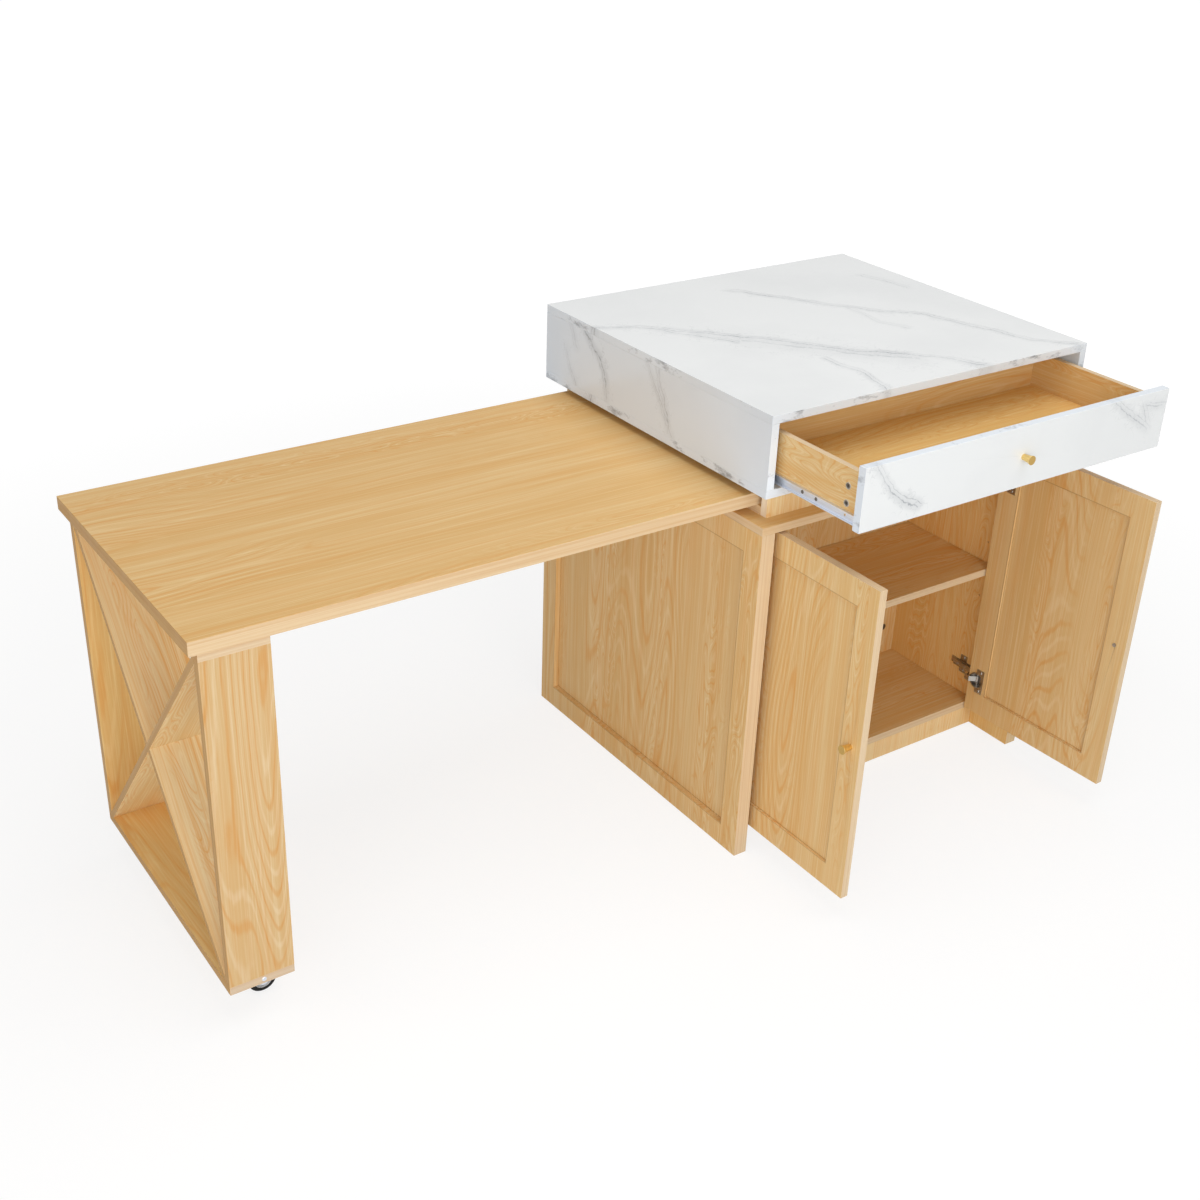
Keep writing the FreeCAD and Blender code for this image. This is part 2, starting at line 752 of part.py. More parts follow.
def hinge_cup(side, hinge):
    """A pressed cup with a flange on the door's inner face and holes for the pin."""
    middle = across_pin(side, "cup_place")
    body = fuse([
        rod("cup_outer", "cup_depth", (middle, "inner_skin - cup_depth", hinge), "y"),
        rod("cup_rim_radius", "flange_thickness", (middle, "inner_skin", hinge), "y"),
        box(
            (
                along(side, "flange_start - pin_from_edge", "flange_width"),
                "inner_skin",
                hinge + " - flange_height / 2",
            ),
            ("flange_width", "flange_thickness", "flange_height"),
        ),
    ])
    screw_x = across_pin(side, "cup_place + flange_screw_offset")
    tools = [
        rod("cup_inner", "cup_depth - cup_floor + flange_thickness",
            (middle, "inner_skin - cup_depth + cup_floor", hinge), "y"),
        rod("hinge_pin_radius", "2 * cup_radius", ("0", "0", hinge + " - cup_radius"), "z"),
    ]
    for sign in ("-", "+"):
        tools.append(rod("flange_hole_radius", "flange_thickness",
                         (screw_x, "inner_skin", hinge + sign + "flange_screw_spacing / 2"), "y"))
    return cut(body, tools)


def hinge_pin(hinge):
    low_end = ("0", "0", hinge + " - hinge_pin_half_length")
    return rod("hinge_pin_radius", "2 * hinge_pin_half_length", low_end, "z")


for side in ("left", "right"):
    hang(side + "_door", side, [door(side)])
    hang(side + "_door_knob", side, [knob((across_pin(side, "knob_place"), "outer_skin", "door_middle"))])
    hang(side + "_knob_screw", side, [
        knob_screw(across_pin(side, "knob_place"), "inner_skin", "door_middle", "door_thickness"),
    ])
    hang(side + "_hinge_cups", side, [hinge_cup(side, hinge) for hinge in ("low_hinge", "high_hinge")])
    hang(side + "_hinge_pins", side, [hinge_pin(hinge) for hinge in ("low_hinge", "high_hinge")])

# Fixed half of the hinges: cranked arms on wing plates screwed to the side panels.

ARM = [
    ("arm_start_low_across", "arm_start_low"),
    ("arm_crank_outside", "arm_bend_low"),
    ("arm_crank_outside", "arm_span_back"),
    ("arm_thickness", "arm_span_back"),
    ("arm_thickness", "arm_end"),
    (None, "arm_end"),
    (None, "arm_span_front"),
    ("arm_crank_inside", "arm_span_front"),
    ("arm_crank_inside", "arm_bend_high"),
    ("arm_start_high_across", "arm_start_high"),
]


def hinge_arm(hinge):
    """A strip from the pin out of the cup, round the door's edge and back along the side panel."""
    floor = hinge + " - arm_height / 2"
    strip = raised(ARM, "XY_Plane", "arm_height")
    place(strip, ("panel_inner_left + arm_stand_off", "pin_line - arm_eye_radius", floor))
    eye = rod("arm_eye_radius", "arm_height", ("left_pin", "pin_line", floor), "z")
    bore = rod("hinge_pin_radius + running_clearance", "arm_height", ("left_pin", "pin_line", floor), "z")
    return cut(fuse([strip, eye]), [bore])


def hinge_plate(hinge):
    """A wing plate with a raised seat under the arm."""
    plate = fuse([
        box(("panel_inner_left", "cabinet_front + hinge_plate_start", hinge + " - hinge_plate_height / 2"),
            ("hinge_plate_thickness", "hinge_plate_length", "hinge_plate_height")),
        box(("panel_inner_left", "cabinet_front + hinge_wing_start", hinge + " - hinge_wing_height / 2"),
            ("hinge_plate_thickness", "hinge_wing_length", "hinge_wing_height")),
        box(("panel_inner_left", "cabinet_front + hinge_boss_start", hinge + " - hinge_boss_height / 2"),
            ("arm_stand_off", "hinge_boss_length", "hinge_boss_height")),
    ])
    holes = []
    for sign in ("-", "+"):
        holes.append(rod("plate_screw_radius + hole_clearance", "hinge_plate_thickness",
                         ("panel_inner_left", screw_line, hinge + sign + "plate_screw_spacing / 2"), "x"))
    return cut(plate, holes)


def plate_screw(height):
    shank = rod("plate_screw_radius", "plate_screw_length + hinge_plate_thickness",
                ("panel_inner_left - plate_screw_length", screw_line, height), "x")
    head = rod("plate_screw_head_radius", "plate_screw_head_height",
               ("panel_inner_left + hinge_plate_thickness", screw_line, height), "x")
    return fuse([shank, head])


arms = []
plates = []
plate_screws = []
for hinge in ("low_hinge", "high_hinge"):
    arm = hinge_arm(hinge)
    plate = hinge_plate(hinge)
    arms += [arm, mirror(arm, "x", "cabinet_middle")]
    plates += [plate, mirror(plate, "x", "cabinet_middle")]
    for sign in ("-", "+"):
        screw = plate_screw(hinge + sign + "plate_screw_spacing / 2")
        plate_screws += [screw, mirror(screw, "x", "cabinet_middle")]
node("hinge_arms", group(arms))
node("hinge_plates", group(plates))
node("hinge_plate_screws", group(plate_screws))

# Pull-out leaf and its leg frame.

node("table_leaf", box(
    ("leaf_end", "leaf_front", "leaf_floor"),
    ("leaf_length", "leaf_width", "leaf_thickness"),
))
stop_front = "cabinet_front + riser_setback + board + bed_strip + stop_side_gap"
node("leaf_stop", box(
    ("cabinet_left + riser_inset + bed_strip", stop_front, "riser_floor + stop_floor_gap"),
    ("stop_length", bed_depth + " - 2 * bed_strip - 2 * stop_side_gap", "board - stop_floor_gap"),
))
node("leg_top_board", box(
    ("leg_left", "leg_front", "leaf_floor - board"),
    ("leg_depth", "leg_width", "board"),
))
node("leg_bottom_board", box(
    ("leg_left", "leg_front", "castor_height"),
    ("leg_depth", "leg_width", "board"),
))
post_size = ("leg_depth", "board", "leg_post_height")
node("leg_near_board", box(("leg_left", "leg_front", "leg_post_floor"), post_size))
node("leg_far_board", box(("leg_left", "leg_front + leg_width - board", "leg_post_floor"), post_size))


def leaning_board(sign):
    """A diagonal board through the middle of the leg frame, trimmed to the frame's inside."""
    board = box(
        ("0", "-brace_length / 2", "-brace_thickness / 2"),
        ("leg_depth", "brace_length", "brace_thickness"),
    )
    centre = group([board])
    place(centre, ("leg_left", "counter_middle", "leg_centre_height"))
    turn(centre, sign + "brace_lean", (1, 0, 0))
    window = box(
        ("leg_left", "leg_front + board", "leg_post_floor"),
        ("leg_depth", "leg_inner_width", "leg_post_height"),
    )
    return common(centre, window)


long_brace = node("long_brace", leaning_board("-"))
node("short_braces", cut(leaning_board(""), [long_brace]))

# Swivel castors: plate and race on the leg, fork on a king pin, wheel on an axle.

castor_plates = []
king_pins = []
for place_name in ("near_castor", "far_castor"):
    axis = ("castor_axis", place_name)
    plate = fuse([
        box(("castor_axis - castor_plate_side / 2", place_name + " - castor_plate_side / 2",
             "castor_height - castor_plate_thickness"),
            ("castor_plate_side", "castor_plate_side", "castor_plate_thickness")),
        rod("castor_race_radius", "castor_race_height", axis + ("race_floor",), "z"),
    ])
    bore = rod("king_pin_radius + hole_clearance", "castor_height - race_floor", axis + ("race_floor",), "z")
    castor_plates.append(cut(plate, [bore]))
    pin_floor = "crown_floor - castor_swivel_gap"
    king_pins.append(fuse([
        rod("king_pin_radius", "castor_height - (" + pin_floor + ")", axis + (pin_floor,), "z"),
        rod("king_pin_head_radius", "king_pin_head_height",
            axis + (pin_floor + " - king_pin_head_height",), "z"),
    ]))
node("castor_plates", group(castor_plates))
node("castor_king_pins", group(king_pins))

RIM = [
    ("axle_bore", None),
    ("hub_radius", None),
    ("hub_radius", "web_start"),
    ("rim_inner", "web_start"),
    ("rim_inner", "rim_start"),
    ("rim_radius", "rim_start"),
    ("rim_radius", "rim_end"),
    ("rim_inner", "rim_end"),
    ("rim_inner", "web_end"),
    ("hub_radius", "web_end"),
    ("hub_radius", "hub_width"),
    ("axle_bore", "hub_width"),
]
TYRE = [
    ("tyre_inner", None),
    ("tyre_crown", None),
    ("wheel_radius", "tyre_shoulder"),
    ("wheel_radius", "tyre_far_shoulder"),
    ("tyre_crown", "wheel_width"),
    ("tyre_inner", "wheel_width"),
]


def fork(spot):
    """Crown disc and two legs that trail back to the axle."""
    body = doc.addObject("PartDesign::Body", "fork")
    side_sketch = body.newObject("Sketcher::SketchObject", "outline")
    support = [item for item in body.Origin.OriginFeatures if item.Role == "XZ_Plane"][0]
    side_sketch.AttachmentSupport = [(support, "")]
    side_sketch.MapMode = "FlatFace"
    top_half = size("fork_top_half")
    top = size("crown_top")
    trail = size("castor_trail")
    axle_height = size("wheel_radius")
    eye = size("fork_eye_radius")
    middle = FreeCAD.Vector(trail, axle_height, 0)
    rear = FreeCAD.Vector(trail + eye, axle_height, 0)
    fore = FreeCAD.Vector(trail - eye, axle_height, 0)
    top_fore = FreeCAD.Vector(-top_half, top, 0)
    top_rear = FreeCAD.Vector(top_half, top, 0)
    lower_half = Part.ArcOfCircle(Part.Circle(middle, FreeCAD.Vector(0, 0, 1), eye), math.pi, 2 * math.pi)
    for line in (Part.LineSegment(top_fore, fore), lower_half,
                 Part.LineSegment(rear, top_rear), Part.LineSegment(top_rear, top_fore)):
        side_sketch.addGeometry(line, False)
    side_sketch.addConstraint(Sketcher.Constraint("Tangent", 0, 2, 1, 1))
    side_sketch.addConstraint(Sketcher.Constraint("Tangent", 1, 2, 2, 1))
    side_sketch.addConstraint(Sketcher.Constraint("Coincident", 2, 2, 3, 1))
    side_sketch.addConstraint(Sketcher.Constraint("Coincident", 3, 2, 0, 1))
    side_sketch.addConstraint(Sketcher.Constraint("Symmetric", 3, 1, 3, 2, -2))
    ties = (
        ("top_width", Sketcher.Constraint("DistanceX", 3, 2, 3, 1, 2 * top_half), "2 * fork_top_half"),
        ("top_height", Sketcher.Constraint("DistanceY", -1, 1, 3, 1, top), "crown_top"),
        ("eye_radius", Sketcher.Constraint("Radius", 1, eye), "fork_eye_radius"),
        ("eye_trail", Sketcher.Constraint("DistanceX", -1, 1, 1, 3, trail), "castor_trail"),
        ("eye_height", Sketcher.Constraint("DistanceY", -1, 1, 1, 3, axle_height), "wheel_radius"),
    )
    for name, constraint, text in ties:
        tie = side_sketch.addConstraint(constraint)
        side_sketch.renameConstraint(tie, name)
        bind(side_sketch, "Constraints." + name, text)
    doc.recompute()
    legs = body.newObject("PartDesign::Pad", "legs")
    legs.Profile = side_sketch
    legs.Midplane = True
    bind(legs, "Length", "fork_outer_width")
    doc.recompute()
    place(body, spot)
    slot = box(
        (spot[0] + " - castor_height", spot[1] + " - fork_inner_width / 2", "0"),
        ("2 * castor_height", "fork_inner_width", "crown_floor"),
    )
    crown_spot = (spot[0], spot[1], "crown_floor")
    crown = rod("castor_crown_radius", "castor_crown_thickness", crown_spot, "z")
    bore = rod("king_pin_radius + running_clearance", "castor_crown_thickness", crown_spot, "z")
    axle_hole = rod("axle_radius + hole_clearance", "fork_outer_width",
                    (spot[0] + " + castor_trail", spot[1] + " - fork_outer_width / 2", "wheel_radius"), "y")
    return cut(fuse([cut(body, [slot]), crown]), [bore, axle_hole])


def axle(spot):
    """A riveted axle with a head outside each fork leg."""
    start = spot[1] + " - fork_outer_width / 2"
    far = spot[1] + " + fork_outer_width / 2"
    along_x = spot[0] + " + castor_trail"
    return fuse([
        rod("axle_radius", "fork_outer_width", (along_x, start, "wheel_radius"), "y"),
        rod("axle_head_radius", "axle_head_height",
            (along_x, start + " - axle_head_height", "wheel_radius"), "y"),
        rod("axle_head_radius", "axle_head_height", (along_x, far, "wheel_radius"), "y"),
    ])


for place_name, prefix in (("near_castor", "near"), ("far_castor", "far")):
    spot = ("castor_axis", place_name, "0")
    node(prefix + "_castor_fork", fork(spot))
    node(prefix + "_castor_axle", axle(spot))
    for label, outline, width in (("wheel", RIM, "hub_width"), ("tyre", TYRE, "wheel_width")):
        piece = turned(outline)
        near_face = place_name + " - " + width + " / 2"
        place(piece, ("castor_axis + castor_trail", near_face, "wheel_radius"), TURNS["y"])
        node(prefix + "_castor_" + label, piece)

doc.recompute()
for item in doc.Objects:
    if "Invalid" in item.State or "Error" in item.State:
        raise RuntimeError("%s (%s) did not compute" % (item.Name, item.Label))
os.makedirs("parts", exist_ok=True)
for label, piece in nodes.items():
    if piece.Shape.isNull() or not piece.Shape.isValid():
        raise RuntimeError(label + " has no valid shape")
    piece.Shape.exportStep("parts/%s.step" % label)
    bounds = piece.Shape.BoundBox
    low = (bounds.XMin, bounds.YMin, bounds.ZMin)
    high = (bounds.XMax, bounds.YMax, bounds.ZMax)
    spans = "  ".join("%s %8.1f %8.1f" % span for span in zip("xyz", low, high))
    print("%-22s solids %2d  %s" % (label, len(piece.Shape.Solids), spans))
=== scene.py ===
import bmesh
import bpy
import json
import math
from mathutils import Matrix, Vector


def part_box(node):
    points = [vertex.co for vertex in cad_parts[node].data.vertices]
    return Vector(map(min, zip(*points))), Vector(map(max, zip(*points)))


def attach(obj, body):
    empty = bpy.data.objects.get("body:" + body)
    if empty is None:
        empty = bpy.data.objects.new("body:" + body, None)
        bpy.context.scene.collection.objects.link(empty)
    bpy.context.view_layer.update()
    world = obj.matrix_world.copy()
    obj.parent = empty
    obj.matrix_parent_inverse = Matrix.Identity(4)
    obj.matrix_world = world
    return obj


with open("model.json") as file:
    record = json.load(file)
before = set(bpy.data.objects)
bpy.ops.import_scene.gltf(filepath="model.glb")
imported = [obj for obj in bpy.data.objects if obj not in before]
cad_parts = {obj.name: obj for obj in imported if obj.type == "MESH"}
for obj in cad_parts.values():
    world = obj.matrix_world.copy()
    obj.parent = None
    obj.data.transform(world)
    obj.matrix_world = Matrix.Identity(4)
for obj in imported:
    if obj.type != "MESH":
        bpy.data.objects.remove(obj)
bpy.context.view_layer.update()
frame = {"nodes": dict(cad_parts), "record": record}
pieces = frame["nodes"]
scene = bpy.context.scene
AXES = "xyz"
# A face is square to an axis where its normal's share along that axis is above this
SQUARE = 0.75
# Middle of a noise, taken off where the noise pushes to both sides
NOISE_MIDDLE = 0.5

# Shader helpers


def new_material(name):
    material = bpy.data.materials.new(name)
    material.use_nodes = True
    tree = material.node_tree
    return material, tree, tree.nodes["Principled BSDF"]


def add(tree, kind, inputs=None, **settings):
    """A shader node with its settings and inputs; an input that is a socket is linked."""
    made = tree.nodes.new(kind)
    for key, value in settings.items():
        setattr(made, key, value)
    for key, value in (inputs or {}).items():
        if isinstance(value, bpy.types.NodeSocket):
            tree.links.new(value, made.inputs[key])
        else:
            made.inputs[key].default_value = value
    return made


def calc(tree, operation, first, second=0.0):
    return add(tree, "ShaderNodeMath", {0: first, 1: second}, operation=operation).outputs[0]


def vec(tree, operation, first, second=(0.0, 0.0, 0.0)):
    return add(tree, "ShaderNodeVectorMath", {0: first, 1: second}, operation=operation).outputs[0]


def length(tree, vector):
    return add(tree, "ShaderNodeVectorMath", {0: vector}, operation="LENGTH").outputs["Value"]


def separate(tree, vector):
    return add(tree, "ShaderNodeSeparateXYZ", {0: vector}).outputs


def combine(tree, *parts):
    return add(tree, "ShaderNodeCombineXYZ", dict(enumerate(parts))).outputs[0]


def noise(tree, vector, scale, detail=2.0, roughness=0.5):
    """Noise from 0 to 1; scale is one number, or one for each axis in cycles per metre."""
    if not isinstance(scale, float):
        vector = vec(tree, "MULTIPLY", vector, scale)
        scale = 1.0
    inputs = {"Vector": vector, "Scale": scale, "Detail": detail, "Roughness": roughness}
    return add(tree, "ShaderNodeTexNoise", inputs).outputs["Fac"]


def span(tree, value, low, high, to_low=0.0, to_high=1.0, smooth=False):
    """A value rescaled from one range to another and clamped."""
    inputs = {0: value, 1: low, 2: high, 3: to_low, 4: to_high}
    kind = "SMOOTHSTEP" if smooth else "LINEAR"
    return add(tree, "ShaderNodeMapRange", inputs, interpolation_type=kind).outputs[0]


def mix(tree, factor, first, second, blend="MIX"):
    inputs = {0: factor, 6: first, 7: second}
    return add(tree, "ShaderNodeMix", inputs, data_type="RGBA", blend_type=blend).outputs[2]


def rgb(red, green, blue):
    """Linear colour from the 0 to 255 values of a picture."""
    def linear(value):
        value /= 255.0
        return value / 12.92 if value <= 0.04045 else ((value + 0.055) / 1.055) ** 2.4
    return (linear(red), linear(green), linear(blue), 1.0)


def scaled(colour, factors):
    return tuple(min(1.0, channel * factor) for channel, factor in zip(colour, factors)) + (1.0,)


def bump(tree, shader, height, strength, distance):
    inputs = {"Strength": strength, "Distance": distance, "Height": height}
    made = add(tree, "ShaderNodeBump", inputs)
    tree.links.new(made.outputs[0], shader.inputs["Normal"])


def facing(tree, share, limit=SQUARE):
    """1 where a normal's share along an axis, of either sign, is above the limit."""
    return calc(tree, "GREATER_THAN", calc(tree, "ABSOLUTE", share), limit)


def edge_of(tree, share):
    """1 on the faces that aren't square to a board's thin axis."""
    return calc(tree, "LESS_THAN", calc(tree, "ABSOLUTE", share), SQUARE)


def dress(name, material):
    mesh = pieces[name].data
    mesh.materials.clear()
    mesh.materials.append(material)


# Boards of maple laminate

# Tones: factors on the red, green and blue of the colours
EVEN = (1.0, 1.0, 1.0)
SOFT = (0.87, 0.875, 0.94)
PALE = (1.15, 1.13, 0.99)
# Painted light: a paler, lifted tone for the plinth, the front riser and the braces, to make up for the
# shade they stand in
BLOND_PAINTED_LIGHT = (1.17, 1.28, 1.48)
DEEP = (1.06, 1.01, 0.84)
RICH = (0.99, 0.945, 0.87)
# Painted light: a lifted tone for the right side panel, whose inner face stands in the cabinet's shade
INNER_PAINTED_LIGHT = (1.16, 1.15, 1.05)
# Grain axis, thin axis, tone and amount of flame figure
WOOD = {
    "left_side_panel": ("z", "x", EVEN, 0.8),
    "right_side_panel": ("z", "x", INNER_PAINTED_LIGHT, 0.8),
    "cabinet_top": ("x", "z", RICH, 0.6),
    "bottom_panel": ("x", "z", EVEN, 0.9),
    "plinth": ("z", "y", BLOND_PAINTED_LIGHT, 0.5),
    "back_panel": ("z", "y", EVEN, 0.9),
    "shelf": ("x", "z", EVEN, 0.9),
    "front_riser": ("z", "y", BLOND_PAINTED_LIGHT, 0.8),
    "rear_riser": ("x", "y", EVEN, 0.8),
    "right_riser": ("y", "x", EVEN, 0.8),
    "bed_sill": ("y", "z", RICH, 0.6),
    "bed_runners": ("x", "z", RICH, 0.6),
    "left_door": ("z", "x", EVEN, 0.7),
    "right_door": ("z", "x", EVEN, 0.6),
    "drawer_left_side": ("y", "x", EVEN, 1.6),
    "drawer_right_side": ("y", "x", EVEN, 1.0),
    "drawer_back": ("x", "y", EVEN, 0.8),
    "drawer_bottom": ("x", "z", DEEP, 1.0),
    "table_leaf": ("x", "z", RICH, 0.4),
    "leaf_stop": ("y", "z", EVEN, 0.6),
    "leg_top_board": ("y", "z", EVEN, 0.6),
    "leg_bottom_board": ("y", "z", PALE, 1.0),
    "leg_near_board": ("z", "y", SOFT, 1.3),
    "leg_far_board": ("z", "y", PALE, 1.0),
    "long_brace": ("z", "y", BLOND_PAINTED_LIGHT, 0.8),
    "short_braces": ("z", "y", BLOND_PAINTED_LIGHT, 0.8),
}
# Boards of the pull-out table, whose edges to the left and right get a darker colour as painted shade
TABLE_BOARDS = (
    "table_leaf", "leg_top_board", "leg_bottom_board", "leg_near_board", "leg_far_board",
    "long_brace", "short_braces",
)
# Boards with a recessed field: the width of the frame round it, and its side of the thin axis, 0 for both
PANEL_FRAME = 0.048
DOOR_FRAME = 0.050
RECESSED = {
    "left_side_panel": (PANEL_FRAME, -1.0), "right_side_panel": (PANEL_FRAME, 1.0),
    "left_door": (DOOR_FRAME, 0.0), "right_door": (DOOR_FRAME, 0.0),
}
# How near its lowest or highest point a brace ends
BRACE_END = 0.002


def board_axes(name):
    """Indexes of a board's axes: along the grain, across it and through the board."""
    grain, thin = WOOD[name][:2]
    across = next(axis for axis in AXES if axis not in (grain, thin))
    return [AXES.index(axis) for axis in (grain, across, thin)]


def brace_lean(name):
    """Angle of a brace from upright about X, from the middles of its two ends."""
    points = [pieces[name].matrix_world @ vertex.co for vertex in pieces[name].data.vertices]
    ends = []
    for level in (min(point.z for point in points), max(point.z for point in points)):
        depths = [point.y for point in points if abs(point.z - level) < BRACE_END]
        ends.append((sum(depths) / len(depths), level))
    (low_y, low_z), (high_y, high_z) = ends
    return math.atan2(high_y - low_y, high_z - low_z)


# Maple laminate: long streaks, flame figures, cream fibres and paler edge bands

LIGHT = rgb(228, 196, 142)
HONEY = rgb(220, 180, 118)
AMBER = rgb(221, 163, 91)
CREAM = rgb(238, 214, 168)
BAND = rgb(226, 203, 169)
# Painted shade for the edges of the table boards that face left and right
PAINTED_END_SHADE = rgb(190, 149, 90)
# Painted shade for the dark line round a recessed field
PAINTED_RECESS_SHADE = rgb(150, 104, 54)
# Each board is cut from another place of the noise
BOARD_STEP = 1.7
SEED_SHIFT = Vector((1.37, 0.71, 0.43))
# Noises: cycles per metre along, across and through the board, then detail and roughness
DRIFT = ((1.4, 5.0, 5.0), 2.0, 0.5)
RAGGED = ((14.0, 70.0, 70.0), 2.0, 0.5)
WIDE = ((0.5, 13.0, 13.0), 2.0, 0.5)
STREAK = ((0.8, 58.0, 58.0), 5.0, 0.62)
FIBRE = ((4.0, 380.0, 380.0), 3.0, 0.65)
FLECK = ((26.0, 900.0, 900.0), 2.0, 0.6)
EDGE_LINE = ((2.0, 2.0, 330.0), 3.0, 0.5)
# Two sets of flames: a smooth hill, its number of contour lines, and the patches where they show
FLAMES = (
    (((1.3, 9.0, 9.0), 0.6, 0.4), 19.0, ((0.8, 5.0, 5.0), 1.0, 0.5)),
    (((6.0, 30.0, 30.0), 0.6, 0.4), 13.0, ((0.5, 14.0, 14.0), 1.0, 0.5)),
)
PATCH_SHIFT = (3.1, 1.7, 0.9)
PATCH_START = 0.66
PATCH_FADE = 0.12
FLAME_GAIN = 0.2
SWAY = 0.028
RAGGED_SHARE = 0.30
HALF_WAVE = 0.5
# Ranges of a noise or wave, and the shares of another colour at their two ends
RIDGE = (0.36, 0.48, 0.0, 1.0)
TROUGH = (0.14, 0.02, 0.0, 1.0)
WIDE_SHARE = (0.30, 0.66, 0.1, 0.9)
STREAK_SHARE = (0.44, 0.72, 0.0, 0.38)
FIBRE_DARK = (0.50, 0.74, 0.0, 0.32)
FIBRE_PALE = (0.50, 0.28, 0.0, 0.72)
FLECK_SHOWN = (0.58, 0.74)
EDGE_LINE_SHARE = (0.40, 0.66, 0.0, 0.30)
PAINTED_RECESS_SHARE = (0.0006, 0.0022, 0.55, 0.0)
RIDGE_SHARE = 0.56
TROUGH_SHARE = 0.5
FLECK_SHARE = 0.16
FLECK_DEPTH = 0.6
FLECK_BUMP = (0.12, 0.0004)
WALL_MARGIN = 0.004
WOOD_ROUGHNESS = (0.3, 0.7, 0.46, 0.58)
WOOD_SPECULAR = 0.2


def turned(tree, vector, angle):
    inputs = {"Vector": vector, "Angle": angle}
    return add(tree, "ShaderNodeVectorRotate", inputs, rotation_type="X_AXIS").outputs[0]


def flames(tree, point, amount):
    """Shares of dark and of cream flame lines, which are contour lines of stretched, smooth noises."""
    ragged = calc(tree, "MULTIPLY", noise(tree, point, *RAGGED), RAGGED_SHARE)
    start = PATCH_START - amount * FLAME_GAIN
    dark = []
    cream = []
    for hill, lines, patch in FLAMES:
        phase = calc(tree, "MULTIPLY", noise(tree, point, *hill), lines)
        wave = calc(tree, "PINGPONG", calc(tree, "ADD", phase, ragged), HALF_WAVE)
        patches = noise(tree, vec(tree, "ADD", point, PATCH_SHIFT), *patch)
        shown = span(tree, patches, start, start + PATCH_FADE)
        dark.append(calc(tree, "MULTIPLY", span(tree, wave, *RIDGE, True), shown))
        cream.append(calc(tree, "MULTIPLY", span(tree, wave, *TROUGH, True), shown))
    return (
        calc(tree, "MULTIPLY", calc(tree, "MAXIMUM", *dark), RIDGE_SHARE),
        calc(tree, "MULTIPLY", calc(tree, "MAXIMUM", *cream), TROUGH_SHARE),
    )


def field_inset(tree, name, coords):
    """How far a point lies inside the outline of a board's recessed field."""
    border = RECESSED[name][0]
    low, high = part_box(name)
    insets = []
    for axis in board_axes(name)[:2]:
        middle, half = (low[axis] + high[axis]) / 2, (high[axis] - low[axis]) / 2 - border
        away = calc(tree, "ABSOLUTE", calc(tree, "SUBTRACT", coords[axis], middle))
        insets.append(calc(tree, "SUBTRACT", half, away))
    return calc(tree, "MINIMUM", *insets)


def field_painted_shade(tree, name, inset, share):
    """Share of the painted shade line round a recessed field, on the faces that have the field."""
    line = span(tree, calc(tree, "ABSOLUTE", inset), *PAINTED_RECESS_SHARE)
    side = RECESSED[name][1]
    outward = calc(tree, "MULTIPLY", share, side) if side else calc(tree, "ABSOLUTE", share)
    return calc(tree, "MULTIPLY", line, calc(tree, "GREATER_THAN", outward, SQUARE))


